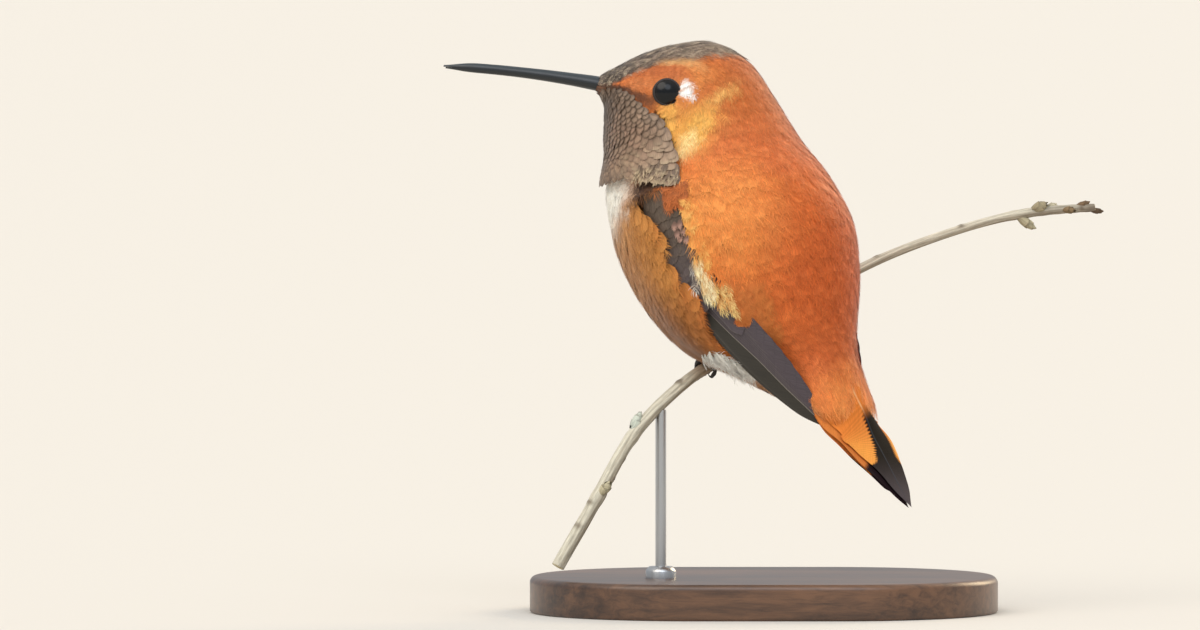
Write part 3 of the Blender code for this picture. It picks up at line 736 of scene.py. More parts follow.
# None grow where the wing lies, in the sockets, under the shield or on the tail.
bare = (wide > by_wing(BACK_EDGE, ahead) - 3) & (wide < by_wing(FLANK_EDGE, ahead) + 2)
bare &= (u > 7.0) & (u < np.where(wide > 88, 11.5, 10.9))
keep = ~bare & (beside > 1.5) & ~under_gorget(u, v, np.where(u < 4.5, 3.0, 6.0))
keep &= u < np.where(wide < 115, 13.0, 13.4)
u, v = u[keep], v[keep]

rng = np.random.default_rng(3)
count, wide = len(u), np.abs(v)
length = coat_length(u, v) * rng.normal(1, 0.08, count)
width = length * (0.36 - 0.04 * smooth(6, 10, u))
lie = rng.normal(0, 3.5, count)
for side in (1, -1):
    centre = body_at(EYE_STATION, EYE_ANGLE * side)
    _, du, dv = axes_at(body_at, np.array([EYE_STATION]), np.array([EYE_ANGLE * side]), BODY_STEPS)
    away = body_at(u, v) - centre
    x, y = away @ unit(du)[0], away @ unit(dv)[0]
    far = np.maximum(x * x + y * y, 2.9)
    facing = np.sign(v) == side
    # The coat parts round the eye as water does round a stone.
    push = 2.7 * facing * smooth(6.0, 2.0, np.sqrt(far))
    lie += np.degrees(np.arctan2(-2 * push * x * y / far**2, 1 - push * (x * x - y * y) / far**2))
    before_eye = facing & (x < 0) & (np.abs(y) < 1.7)
    length = np.where(before_eye, np.minimum(length, np.maximum(np.hypot(x, y) - 1.45, 0.35)), length)
    beside_eye = facing & (np.hypot(x, y) < 2.4)
    length = np.where(beside_eye, np.minimum(length, 0.62), length)
# Over the wing the feathers turn down towards it and their tips stand a little off.
to_wing = smooth(-16, -2, wide - by_wing(BACK_EDGE, u)) * (wide < 90)
to_wing = to_wing * smooth(7.3, 8.4, u) * smooth(11.4, 10.4, u)
from_flank = smooth(14, 3, wide - by_wing(FLANK_EDGE, u)) * (wide > 89)
from_flank = from_flank * smooth(7.3, 8.2, u) * smooth(11.4, 10.8, u)
lie += np.sign(v) * (12 * to_wing - 16 * from_flank)
root_lift = -0.08 * length - 0.03
tip_lift = 0.02 + 0.25 * to_wing + 0.2 * from_flank + rng.normal(0, 0.025, count)
tip_lift += 0.16 * crown_share(u, v) * rng.uniform(0, 1, count) ** 2

made = grow(coat_at, BODY_STEPS, u, v, length, width, lie, root_lift, tip_lift, CONTOUR, 4)
seat_u, seat_v = made["u"][:, 7:8], made["v"][:, 7:8]  # the middle of each vane
calm = 0.5 + 0.5 * smooth(4.6, 5.4, u)[:, None]
stray_u, stray_v = calm * rng.normal(0, 0.09, (count, 1)), calm * rng.normal(0, 2.2, (count, 1))
drift_u, drift_v = stray_u + 0.1 * calm * made["strand"], stray_v + 1.8 * calm * made["strand"]
colours = plumage(seat_u + drift_u, seat_v + drift_v) * 0.5
colours += plumage(made["u"] + drift_u, made["v"] + drift_v) * 0.5
shade = rng.normal(1, 0.03, (count, 1)) * (1 + 0.07 * made["strand"])
# Each feather is also painted darker towards its root: painted shade where the feather above covers it.
colours *= (shade * (0.7 + 0.3 * smooth(0.1, 0.5, made["x"])))[..., None]
# The cap's feathers have dark middles and pale fringes.
cap = crown_share(seat_u, seat_v)
streak = rng.normal(0, 1, (count, 1)) + 0.9 * made["strand"]
rim = smooth(0.62, 1.0, np.hypot((made["x"] - 0.4) / 0.65, made["y"]))
fringe = cap * rim * rng.uniform(0, 1, (count, 1)) ** 2
colours *= (1 - cap * np.clip(0.22 * (1 - fringe) + 0.3 * streak, -0.35, 0.7))[..., None]
buff = np.clip(0.8 * fringe + 0.5 * cap * smooth(0.9, 2.2, -streak), 0, 0.85)
colours = tinged(colours, "CDBB9C", buff)
# The white spot is white to the roots of its feathers.
white = blob(seat_u, seat_v, WHITE_SPOT, (0.31, 4.6), 0.2) * (0.97 + 0.03 * made["strand"])
colours = tinged(colours, "FFFEFA", np.clip(0.95 * white, 0, 1))

pieces = np.where(u < 5.4, np.where(v > 0, 0, 1), np.where(np.abs(v) < 95, 2, 4) + (v < 0))
names = ["head_left", "head_right", "back_left", "back_right", "front_left", "front_right"]


def part_of(feathers, chosen):
    """The feathers picked by a mask, as a set of their own."""
    count, corners = feathers["x"].shape
    loops = len(feathers["loops"]) // count
    found = {k: feathers[k][chosen] for k in ("points", "normals", "x", "y", "vane")}
    starts = corners * np.arange(chosen.sum())[:, None]
    found["loops"] = (feathers["loops"][:loops][None, :] + starts).ravel()
    found["sizes"] = feathers["sizes"][: len(feathers["sizes"]) // count * chosen.sum()]
    return found


for k, name in enumerate(names):
    chosen = pieces == k
    part = part_of(made, chosen)
    root_map = body_unwrap(u[chosen], v[chosen])
    piece = feather_piece(f"coat_{name}", part, colours[chosen], root_map, contour_finish)

# Loose tufts: white down round the legs, pale yellow and rufous feathers where the back meets the wing,
# a few white wisps over it, and dark and pinkish ones at its bend.
DOWN = Plume([0, 0.3, 0.55], [0.2, 0.4, 0.15], 3, 14, 0.05, 1.5, 0.0, 0.7)
WISP = Plume([0, 0.3], [0.1, 0.1], 3, 8, 0.04, 2.0, 0.0, 0.7)
down_finish = feather_finish("downy_barbs", 0.7, 0.4, 0.1, 0.06)
TUFTS = [  # name, stations, angles, spacing, length, half width, lie, lift of the tips, colours, seed, shape
    ("vent", (11.2, 11.9), (98, 124), 0.36, 3.0, 0.9, 10, 1.6, ("F4F2EA", "FBFAF4"), 31, DOWN),
    ("side", (9.2, 9.9), (77, 82), 0.42, 2.4, 0.42, 0, 0.4, ("E2A858", "FBF0C4"), 33, DOWN),
    ("lower_side", (9.75, 10.25), (70, 78), 0.44, 2.1, 0.42, -3, 0.35, ("CF7E36", "F3D48A"), 43, DOWN),
    ("wisps", (9.3, 9.8), (82, 84), 0.8, 2.3, 0.6, 24, 0.5, ("B9A48C", "F1ECE0"), 45, WISP),
    ("edge", (7.8, 9.3), (74, 77), 0.5, 2.0, 0.6, 6, 0.25, ("DC8238", "F0B862"), 35, CONTOUR),
    ("hem", (9.8, 10.9), (54, 70), 0.5, 2.6, 0.9, 2, 0.2, ("C4682A", "CB7634"), 36, CONTOUR),
    ("bend", (7.4, 7.9), (75, 84), 0.4, 2.0, 0.8, 4, 0.25, ("8A4A24", "C86E34"), 37, CONTOUR),
    ("shoulder", (8.4, 8.8), (81, 86), 0.62, 1.1, 0.45, 4, 0.3, ("6E5448", "BC9280"), 39, CONTOUR),
]
for name, stations, angles, gap, long, half, lie, raised, (near, far), seed, plume in TUFTS:
    for label, side in (("left", 1), ("right", -1)):
        span = sorted(side * a for a in angles)
        u, v = scatter(coat_at, stations, span, BODY_STEPS, lambda s, _, gap=gap: gap + 0 * s, seed)
        rng = np.random.default_rng(seed + 1)
        length = long * rng.uniform(0.7, 1.1, len(u))
        way = side * lie + rng.normal(0, 7, len(u))
        tips = raised * rng.uniform(0.1, 1.2, len(u))
        made = grow(coat_at, BODY_STEPS, u, v, length, half, way, -0.15, tips, plume, seed + 2)
        colours = between(near, far, smooth(0.15, 0.95, made["x"]))
        colours *= (1 + 0.07 * made["strand"])[..., None]
        root_map = body_unwrap(u, v)
        piece = feather_piece(f"down_{name}_{label}", made, colours, root_map, down_finish)

# Gorget -------------------------------------------------------------------------------------------------
# The throat's shield of stiff rounded scale feathers in staggered rows, small at the chin and large at
# the flared lower corners, where their tips are pale and frayed. Here it shows its dull brown side.

GORGET_THICKNESS, GORGET_FLARE = 0.7, 0.75
GORGET_STEPS = (0.002, 0.002)
SCALE_ROWS, SCALE_OUTLINE = [0, 0.3, 0.55, 0.75, 0.88, 0.97, 1.0], [0.6, 0.92, 1.0, 0.98, 0.86, 0.6, 0.3]
SCALE = Plume(SCALE_ROWS, SCALE_OUTLINE, 5, 10, 0.05, 0.8, 0.06, 0.65)


def gorget_at(down, side, lift=0.0):
    """Points over the shield's outer face. down runs from the chin to the foot and side from -1 to 1."""
    down, side = np.asarray(down, float), np.asarray(side, float)
    station = GORGET_TOP + (gorget_foot(side) - GORGET_TOP) * down
    flare = GORGET_FLARE * side**2 * down**4
    edge = np.sqrt(np.clip(1 - side**4, 0, 1)) * np.clip(down * 4, 0, 1)
    rise = 0.12 + flare + GORGET_THICKNESS * edge
    return body_at(station, 180 + along(GORGET_REACH, down) * side, rise + lift)


def gorget_pace(down, side):
    """How many millimetres of the shield one whole share of its height would be."""
    return np.linalg.norm(gorget_at(down + 0.01, side) - gorget_at(down - 0.01, side), axis=-1) / 0.02


def gorget_unwrap(down, side):
    """Roots' places on the unwrap: across the shield one way and down it the other."""
    return side / 2 + 0.5, down * 0.98 + 0.01


def lengths_along(line):
    """How far each point of a line lies from its start."""
    return np.concatenate([[0], np.cumsum(np.linalg.norm(np.diff(line, axis=0), axis=-1))])


# Scale feathers: flattened barbs with a faint oily gloss. Their darkness where one slips under the next is
# painted shade in their colours.
scale_finish = feather_finish("gorget_feather_scale", 0.42, 0.1, 0.2, 0.07)

# Rows from the chin down, each set half a scale aside from the last and half a pitch under it.
CHIN_PITCH, PITCH_GROWTH = 0.5, 0.42
us, vs, pitches = [], [], []
down, row = 0.012, 0
while down < 1:
    pitch = CHIN_PITCH + PITCH_GROWTH * smooth(0.0, 0.8, down)
    sides = np.linspace(-1, 1, 200)
    arc = lengths_along(gorget_at(np.full(200, down), sides))
    count = max(int(arc[-1] / (pitch * 1.1)), 2)
    places = (np.arange(count) + 0.25 + 0.5 * (row % 2)) / count
    us.append(np.full(count, down))
    vs.append(np.interp(places * arc[-1], arc, sides))
    pitches.append(np.full(count, pitch))
    step = np.linalg.norm(gorget_at(down + 0.01, 0.0) - gorget_at(down, 0.0)) / 0.01
    down, row = down + pitch * 0.52 / step, row + 1
u, v, pitch = map(np.concatenate, (us, vs, pitches))
rng = np.random.default_rng(11)
u, v = u + rng.normal(0, 0.004, len(u)), np.clip(v + rng.normal(0, 0.008, len(v)), -0.98, 0.98)
length = pitch * 1.5 * rng.normal(1, 0.07, len(u))
pace = gorget_pace(u, v)
keep = u + length * 0.92 / pace < 1
u, v, pitch, length, pace = (values[keep] for values in (u, v, pitch, length, pace))
corner = smooth(0.42, 0.8, np.abs(v)) * smooth(0.62, 0.85, u + length / pace)
lie = rng.normal(0, 4, len(u)) - 12 * v * smooth(0.5, 1, u)
tip_lift = 0.04 + 0.08 * smooth(0.4, 0.8, u) + rng.normal(0, 0.01, len(u))
made = grow(gorget_at, GORGET_STEPS, u, v, length, pitch * 0.62, lie, -0.24, tip_lift, SCALE, 12)
x, y = made["x"], made["y"]
edge = smooth(0.78, 1.0, np.hypot((x - 0.35) / 0.68, 0.9 * y))
colours = between("6E5B4B", "9A8069", smooth(0.15, 0.95, u + 0.25 * np.abs(v))[:, None])
# A painted glint: a pinkish copper flash on some scales in the shield's middle, standing for their
# iridescence.
painted_glint = 0.5 * blob(u, v * 90, (0.62, 55), (0.3, 26), 0.4) * rng.uniform(0, 1, len(u))
colours = tinged(colours, "A07D6A", painted_glint[:, None])
# Random brightness, and each scale painted darker towards its root: painted shade where it slips under the
# next.
colours = colours * (rng.normal(1, 0.1, (len(u), 1)) * (0.7 + 0.3 * smooth(0.2, 0.7, x)))[..., None]
colours *= (1 - 0.55 * edge * (1 - 0.6 * corner[:, None]))[..., None]
pale = corner[:, None] * smooth(0.6, 1.0, x) * rng.uniform(0.2, 1, (len(u), 1))
colours = tinged(colours, "BBA888", 0.5 * pale)
scales = feather_piece("gorget_scales", made, colours, gorget_unwrap(u, v), scale_finish)
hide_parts("gorget")

# The frayed fringe of its corners.
FRINGE = Plume([0, 0.4, 0.7, 0.9], [0.3, 0.5, 0.35, 0.1], 3, 9, 0.07, 1.1, 0.0, 0.5)
rng = np.random.default_rng(14)
v = np.concatenate([sign * rng.uniform(0.74, 1.0, 60) for sign in (1, -1)])
u = 0.93 + rng.uniform(-0.04, 0.03, len(v))
length = np.clip((1.07 - u) * gorget_pace(u, v), 0.5, 1.5) * rng.uniform(0.75, 1.1, len(u))
way = rng.normal(0, 9, len(u)) - 14 * v
tips = rng.uniform(-0.1, 0.25, len(u))
made = grow(gorget_at, GORGET_STEPS, u, v, length, 0.24, way, 0.0, tips, FRINGE, 15)
colours = between("705D4D", "C4AE8C", smooth(0.45, 1.05, made["x"]))
colours *= rng.normal(1, 0.16, (len(u), 1, 1)) * (1 + 0.1 * made["strand"])[..., None]
fringe = feather_piece("gorget_fringe", made, colours, gorget_unwrap(u, v), scale_finish)

# The bed that the scales grow from, which closes the gaps between them.
down, side = np.linspace(0, 0.9, 60)[:, None], np.linspace(-0.97, 0.97, 61)[None, :]
points = np.stack([gorget_at(down, side, -0.34), gorget_at(down, side, -0.42)])
unwrap = np.stack(np.broadcast_arrays(side / 2 + 0.5, down), -1)
faces = grid_faces(60, 61)
faces = np.concatenate([faces, faces[:, ::-1] + 60 * 61])
maps = {"OFBake": np.stack([unwrap, unwrap])}
bed = new_piece("gorget_bed", to_row(points), faces, skin_finish, linear("4A3D33"), maps)

# Wings --------------------------------------------------------------------------------------------------
# Each folded wing is a fan of ten narrow primaries and six short secondaries that close over each other,
# with rows of rounded coverts over their roots. Each feather has its own shaft and two webs.

WING_LINE = [(3.7, 10.7, 6.6), (-1.6, 11.75, -2.7), (-8.4, 9.0, -11.4), (-14.6, 3.6, -19.8)]
WING_HALF_WIDTHS = [2.0, 3.4, 3.7, 3.3, 2.6, 1.6, 0.35]
WING_THICKNESS, WING_TIP_THICKNESS, WING_WRAP = 1.3, 0.5, 12.0
WING_STEPS = (0.002, 0.02)


def wing_at(share, reach, lift=0.0):
    """Points over the left wing's outer face. reach is in millimetres towards its leading edge."""
    share, reach, lift = np.broadcast_arrays(*(np.asarray(x, float) for x in (share, reach, lift)))
    ahead = unit(along(WING_LINE, share + 0.02) - along(WING_LINE, share - 0.02))
    guide = np.stack([0.2 - 0.7 * share, 1 + 0 * share, 0 * share], -1)
    outward = unit(guide - ahead * dot(ahead, guide)[..., None])
    across = np.cross(ahead, outward)
    wrap = WING_WRAP / np.maximum(0.15, 1 - share)
    thick = WING_THICKNESS + (WING_TIP_THICKNESS - WING_THICKNESS) * np.clip(share / 0.75, 0, 1)
    rise = lift + thick / 2 - reach**2 / (2 * wrap)
    return along(WING_LINE, share) + across * reach[..., None] + outward * rise[..., None]


def quill(surface, steps, line, outer, inner, lift, paint, rows=60, columns=12, camber=0.12):
    """One long feather along a line of (u, v) places: its points, faces, colours and own map."""
    t = np.linspace(0, 1, rows)
    at = along(line, t)
    u, v = at[:, 0], at[:, 1]
    normal, du, dv = axes_at(surface, u, v, steps)
    place = surface(u, v)
    ahead = unit(np.gradient(place, axis=0))
    across = np.cross(ahead, normal)
    gone = lengths_along(place)
    y = np.concatenate([np.linspace(-1, -0.04, columns), [0], np.linspace(0.04, 1, columns // 2)])
    web = np.where(y > 0, along(outer, t)[:, None], along(inner, t)[:, None]) * y
    t, y, gone, web = np.broadcast_arrays(t[:, None], y, gone[:, None], web)
    step_u, step_v = steps_for(web[..., None] * across[:, None], du[:, None], dv[:, None])
    shaft = np.exp(-((web / 0.09) ** 2)) * (1 - t**2) * 0.035
    rise = lift + shaft - camber * y**2 * (1 - 0.6 * t)
    return {
        "points": surface(u[:, None] + step_u, v[:, None] + step_v, rise),
        "loops": grid_faces(*web.shape).ravel(),
        "colours": paint(t, y, web, gone),
        "vane": np.stack([gone, web], -1),
    }


def quill_piece(name, quills, material, mirror=False):
    """Joins long feathers into one piece. Each has a strip of the unwrap, from its root to its tip."""
    parts = ([q[k].reshape(-1, q[k].shape[-1]) for q in quills] for k in ("points", "colours", "vane"))
    points, colours, vanes = map(np.concatenate, parts)
    starts = np.cumsum([0] + [q["points"].size // 3 for q in quills])
    loops = np.concatenate([q["loops"] + start for q, start in zip(quills, starts)])
    if mirror:
        points, loops = mirrored(points), loops.reshape(-1, 4)[:, ::-1]
    strips = []
    for k, q in enumerate(quills):
        t, side = (q["vane"][..., n].ravel() for n in (0, 1))
        middle = (k + 0.5) / len(quills)
        strip_u = middle + 0.45 * (side / np.abs(side).max()) / len(quills)
        strips.append(np.stack([strip_u, 0.02 + 0.96 * (t / t.max())], -1))
    maps = {"OFBake": np.concatenate(strips), "vane": vanes}
    return new_piece(name, to_row(points), loops, material, colours, maps)


# Flight feathers: flat webs of zipped barbs, matt with a slight waxy gloss, ruled slantwise from the shaft.
def quill_finish(name, roughness, contrast, specular=0.4, sheen=0.12):
    """A finish of long feathers, whose lines run outwards from the shaft about 0.12 mm apart."""
    made, tree, shader = new_material(name)
    own = add(tree, "UVMap", uv_map="vane")
    split = add(tree, "SeparateXYZ", {0: own.outputs["UV"]})
    aside = add(tree, "Math", {0: split.outputs["Y"]}, operation="ABSOLUTE")
    slant = {0: aside.outputs[0], 1: -1.5, 2: split.outputs["X"]}
    along_barb = add(tree, "Math", slant, operation="MULTIPLY_ADD")
    place = add(tree, "CombineXYZ", {"X": along_barb.outputs[0], "Y": split.outputs["Y"]})
    stretch = add(tree, "Mapping", {"Vector": place.outputs[0], "Scale": (8.0, 0.5, 1.0)})
    noise = {"Vector": stretch.outputs["Vector"], "Scale": 1.0, "Detail": 3.0, "Roughness": 0.6}
    barbs = add(tree, "TexNoise", noise, noise_dimensions="2D")
    bump = add(tree, "Bump", {"Height": barbs.outputs["Fac"], "Strength": 0.4, "Distance": 0.03 * MM})
    wire(
        tree,
        shader,
        {
            "Base Color": shaded(tree, barbs, (0.25, 0.75), (1 - contrast, 1 + contrast)),
            "Roughness": roughness,
            "Specular IOR Level": specular,
            "Sheen Weight": sheen,
            "Normal": bump.outputs["Normal"],
        },
    )
    return made


remex_finish = quill_finish("flight_feather_web", 0.55, 0.24)


def along_part(values, first, last):
    """A curve through values that are spread evenly from one share to another."""
    return lambda share: along(values, (share - first) / (last - first))


leading = along_part([2.45, 2.45, 2.4, 2.35, 2.2, 1.8, 1.15, 0.0], 0.3, 1.0)
second_edge = along_part([1.5, 1.2, 0.9, 0.65, 0.35, 0.3, 0.15, 0.0], 0.3, 1.0)
trailing = along_part([-3.0, -3.2, -2.8, -2.5, -2.4, -1.9, -1.1, -0.4], 0.3, 1.0)


def remex_paint(web_code, rim):
    """Dusky webs with a slightly paler shaft and a thin pale rim on the leading side."""

    def paint(t, y, web, _):
        shaft = np.exp(-((web / 0.07) ** 2)) * (1 - t)
        colour = tinged(linear(web_code), "6B625C", 0.35 * shaft)
        colour = tinged(colour, "9A9384", rim * smooth(0.72, 0.98, y) * smooth(0.2, 0.4, t))
        return colour * (0.95 + 0.12 * smooth(0.6, 1, t))[..., None]

    return paint


def remex(root, tip, shaft, outer_edge, lift, paint, rows=60, columns=12):
    """A flight feather whose webs reach to its own leading edge and under its neighbours."""
    shares = root + (tip - root) * np.linspace(0, 1, 13)
    reach = shaft(shares)
    outer = np.clip(outer_edge(shares) - reach, 0, 1.2)
    inner = np.clip(reach - trailing(shares), 0, 2.4)
    outer[-1] = inner[-1] = 0
    outer[0], inner[0] = 0.3, 0.8
    line = list(zip(shares, reach))
    return quill(wing_at, WING_STEPS, line, outer, inner, lift, paint, rows, columns, 0.06)


def first_shaft(share):
    return leading(share) - 0.45 * (1 - share**4)


PRIMARY_TIPS = [0.985, 0.955, 0.915, 0.87, 0.82, 0.77, 0.72, 0.67, 0.63]


def primary(i):
    """A primary inside the outermost one, numbered inwards from 1 to 9."""
    inset = 0.3 * (i - 1) * (1 if i < 8 else 0.95)

    def edge(share):
        return np.maximum(second_edge(share) - inset * (1 - share**3), trailing(share) + 0.25)

    def shaft(share):
        return np.maximum(edge(share) - 0.35, trailing(share) + 0.08)

    paint = remex_paint("463D42", 0.9 if i == 1 else 0.12)
    return remex(0.3 - 0.006 * i, PRIMARY_TIPS[i - 1], shaft, edge, -0.46 + 0.035 * i, paint)


def secondary(j):
    """A secondary, numbered inwards from 0 to 5."""

    def edge(share):
        return np.maximum(0.9 - 0.4 * j - 1.2 * share, trailing(share) + 0.3)

    def shaft(share):
        return np.maximum(edge(share) - 0.5, trailing(share) + 0.1)

    paint = remex_paint("4B4247", 0.12)
    return remex(0.24 - 0.02 * j, 0.6 - 0.04 * j, shaft, edge, -0.1 + 0.02 * j, paint, 40, 8)


quills = [remex(0.3, 1.0, first_shaft, leading, -0.5, remex_paint("2E2A22", 0.1))]
quills += [primary(i) for i in range(1, 10)]
quills += [secondary(j) for j in range(6)]

# Covert feathers: small, rounded and soft, with a broad vane that shows little sheen.
covert_finish = feather_finish("wing_covert_feather", 0.55, 0.12, 0.2, 0.08)

COVERT_END = 0.37
COVERT_ROWS = [0, 0.25, 0.5, 0.72, 0.87, 0.96, 1.0]
COVERT_OUTLINE = [0.4, 0.75, 0.98, 0.96, 0.76, 0.48, 0.16]
COVERT = Plume(COVERT_ROWS, COVERT_OUTLINE, 5, 12, 0.05, 0.7, 0.03, 0.75)
u, v = scatter(wing_at, (0.0, COVERT_END), (-3.5, 3.6), WING_STEPS, lambda s, _: 0.55 + 1.3 * s, 21)
keep = (np.abs(v) < along(WING_HALF_WIDTHS, u) + 0.05) & (v < 3.7 - 2.6 * smooth(0.14, 0.36, u))
u, v = u[keep], v[keep]
rng = np.random.default_rng(22)
length = (1.5 + 4.6 * u) * rng.normal(1, 0.06, len(u))
lie = rng.normal(0, 5, len(u)) - 6 * v * smooth(0.25, 0, u)
tip_lift = 0.2 + rng.normal(0, 0.02, len(u))
made = grow(wing_at, WING_STEPS, u, v, length, length * 0.4, lie, 0.02, tip_lift, COVERT, 23)
x, y = made["x"], made["y"]
colours = between("5E5044", "4B4245", smooth(0.1, 0.35, u)[:, None])
# Random brightness, and each covert painted darker towards its root: painted shade under the one above.
colours = colours * (rng.normal(1, 0.1, (len(u), 1)) * (0.7 + 0.3 * smooth(0.1, 0.6, x)))[..., None]
pale = smooth(0.86, 1.02, np.hypot((x - 0.45) / 0.57, y)) * rng.uniform(0, 0.3, (len(u), 1))
colours = tinged(colours, "85745C", pale)
root_map = (v / 8 + 0.5, u / COVERT_END * 0.98 + 0.01)
for label, mirror in (("left", False), ("right", True)):
    piece = quill_piece(f"remiges_{label}", quills, remex_finish, mirror)
    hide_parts(f"wing_{label}_primaries")
    piece = feather_piece(f"coverts_{label}", made, colours, root_map, covert_finish, mirror)
    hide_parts(f"wing_{label}_coverts")

# Tail ---------------------------------------------------------------------------------------------------
# Ten feathers closed into a pointed fan, the middle pair on top and the outer ones under them. Each is
# rufous with a black spear at its tip, and the top one lies over to the bird's right.

TAIL_OVER = np.cross([0, 1, 0], TAIL_AHEAD)
TAIL_LENGTH = np.linalg.norm(TAIL_TIP - TAIL_ROOT)
TAIL_STEPS = (0.002, 0.02)


def tail_at(share, aside, lift=0.0):
    """Points over the tail's plate. Shares under 0 run up over the rump. aside is to the bird's left."""
    share, aside, lift = np.broadcast_arrays(*(np.asarray(x, float) for x in (share, aside, lift)))
    rump = 2.3 * smooth(0.25, -0.4, share)
    arch = (0.35 * np.clip(1 - share, 0, 1) + 3.0 * smooth(0.25, -0.35, share)) * (aside / 4.6) ** 2
    point = TAIL_ROOT + TAIL_AHEAD * (share * TAIL_LENGTH)[..., None]
    point = point + aside[..., None] * np.array([0, 1, 0])
    return point + TAIL_OVER * (lift + rump - arch)[..., None]


rectrix_finish = quill_finish("tail_feather_web", 0.65, 0.14, 0.03, 0.0)


def barb_wave(web, gone):
    """Fine stripes that slant outwards along the barbs."""
    return np.sin(gone * 14 - np.abs(web) * 20)


black_left = along_part([0.0, 0.55, 0.6, 0.68, 0.95, 1.5, 2.2, 5.0], -0.12, 0.6)
black_right = along_part([0.0, 2.7, 3.0, 3.0, 2.7, 2.5, 3.2, 6.0], -0.12, 0.6)


def paint_top(share, web, gone):
    """Rufous with a black spear to the right of the shaft, notched barb by barb and greyer at its tip."""
    half = np.where(web > 0, black_left(share), black_right(share))
    dark = smooth(0.14, -0.14, np.abs(web) - half + 0.2 * barb_wave(web, gone)) * smooth(-0.13, 0.03, share)
    shaft = np.exp(-((web / 0.08) ** 2))
    colour = between("D97C36", "E89A45", smooth(-0.1, 0.45, share))
    # A painted rim light: pale gold along the top feather's right edge, where light from behind catches it.
    colour = tinged(colour, "F0BE72", 0.8 * smooth(-2.6, -3.4, web) * smooth(0.1, 0.4, share))
    colour *= (0.95 + 0.07 * barb_wave(web, gone))[..., None]
    colour = tinged(colour, "F0C48E", 0.8 * shaft * smooth(0.0, -0.12, share))
    black = between("0C0808", "4A4347", smooth(0.35, 1.0, share))
    black = tinged(black, "343A44", 0.8 * shaft * smooth(1.0, 0.7, share))
    return colour + (black - colour) * dark[..., None]


def paint_under(first):
    """Rufous with a black end, which starts at this share of the tail's length."""

    def paint(share, web, gone):
        dark = smooth(0.0, 0.05, share - first - np.abs(web) * 0.02 + 0.01 * barb_wave(web, gone))
        colour = linear("D27C3C") * (0.94 + 0.07 * barb_wave(web, gone))[..., None]
        return tinged(colour, "22171B", dark)

    return paint


def rectrix(root, tip, shaft, left, right, lift, paint, rows=110, columns=20):
    """A tail feather, from where its shaft and edges lie at each share of the tail's length."""
    shares = root + (tip - root) * np.linspace(0, 1, 17)
    reach = shaft(shares)
    outer, inner = np.maximum(left(shares) - reach, 0), np.maximum(reach - right(shares), 0)
    outer[-1] = inner[-1] = 0

    def paint_here(t, _, web, gone):
        return paint(root + (tip - root) * t, web, gone)

    line = list(zip(shares, reach))
    return quill(tail_at, TAIL_STEPS, line, outer, inner, lift, paint_here, rows, columns, 0.08)


top = rectrix(
    -0.4,
    1.0,
    along_part([0.9, 0.7, -0.5, -0.9, -0.7, -0.35, 0.0, 0.1], -0.4, 1.0),
    along_part([4.8, 4.8, 4.8, 4.35, 3.6, 2.1, 1.35, 0.2], -0.4, 1.0),
    along_part([-4.6, -4.7, -4.8, -4.5, -3.6, -2.6, -1.5, -0.1], -0.4, 1.0),
    0.5,
    paint_top,
    440,
    32,
)
second = rectrix(
    -0.4,
    0.99,
    along_part([3.2, 3.2, 3.0, 2.6, 1.9, 1.1, 0.2], -0.2, 1.0),
    along_part([5.2, 5.15, 4.65, 4.0, 2.8, 1.7, 0.45], -0.2, 1.0),
    along_part([0.6, 0.6, 0.6, 0.5, 0.2, -0.2, -0.2], -0.2, 1.0),
    0.22,
    paint_under(0.42),
)
piece = quill_piece("rectrices_top", [top, second], rectrix_finish)
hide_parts("tail_top")

RECTRIX_TIPS, RECTRIX_WIDTHS = [0.8, 0.72, 0.64, 0.56], [4.5, 4.6, 4.75, 4.9]


def side_rectrix(k):
    """The second to the fifth feather of the left side, for k from 0 to 3."""
    tip, wide = RECTRIX_TIPS[k], RECTRIX_WIDTHS[k]

    def edge(share):
        return wide * np.sqrt(np.clip(1 - (np.maximum(share, 0) / (tip + 0.06)) ** 1.7, 0, 1))

    def shaft(share):
        return edge(share) * 0.7

    def under(share):
        return shaft(share) - 1.8

    return rectrix(-0.4, tip, shaft, edge, under, 0.1 - 0.14 * k, paint_under(tip - 0.3), 60, 10)


quills = [side_rectrix(k) for k in range(4)]
for label, mirror in (("left", False), ("right", True)):
    piece = quill_piece(f"rectrices_{label}", quills, rectrix_finish, mirror)
    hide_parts(f"tail_{label}")

# Twig ---------------------------------------------------------------------------------------------------
# A dry cut twig with the bark left on, grooved lengthwise, with small scaly buds and pale sawn ends.

TWIG_LINE = [
    (-22.85, -10.5, 5.6),
    (-18.8, -9, 12.6),
    (-14.4, -6.6, 20.1),
    (-8.4, -2.4, 25.9),
    (-3.3, 3.6, 28.6),
    (1.2, 8.8, 31.6),
    (10.2, 12.2, 37.4),
    (20, 14.2, 41.4),
    (29, 15.4, 43.8),
    (37.3, 16.4, 44.5),
]
TWIG_RADII = [0.76, 0.74, 0.71, 0.68, 0.64, 0.6, 0.55, 0.5, 0.5, 0.42]
BUDS = [  # share of the twig, degrees round it, length, radius, lean, colour
    (0.125, 85, 2.0, 0.5, 35, "C9C0A0"),
    (0.222, -8, 2.5, 0.52, 12, "D3DACB"),
    (0.655, -75, 1.6, 0.4, 20, "B0A78C"),
    (0.905, 30, 2.0, 0.55, 18, "A99E80"),
    (0.885, 180, 2.4, 0.5, 45, "B5AC8E"),
    (0.925, -40, 1.3, 0.4, 22, "C9C0A4"),
    (0.945, 100, 1.5, 0.35, 26, "8C7656"),
    (0.965, 0, 1.6, 0.3, 14, "7A6248"),
    (0.99, 200, 1.5, 0.28, 12, "5E4A36"),
]


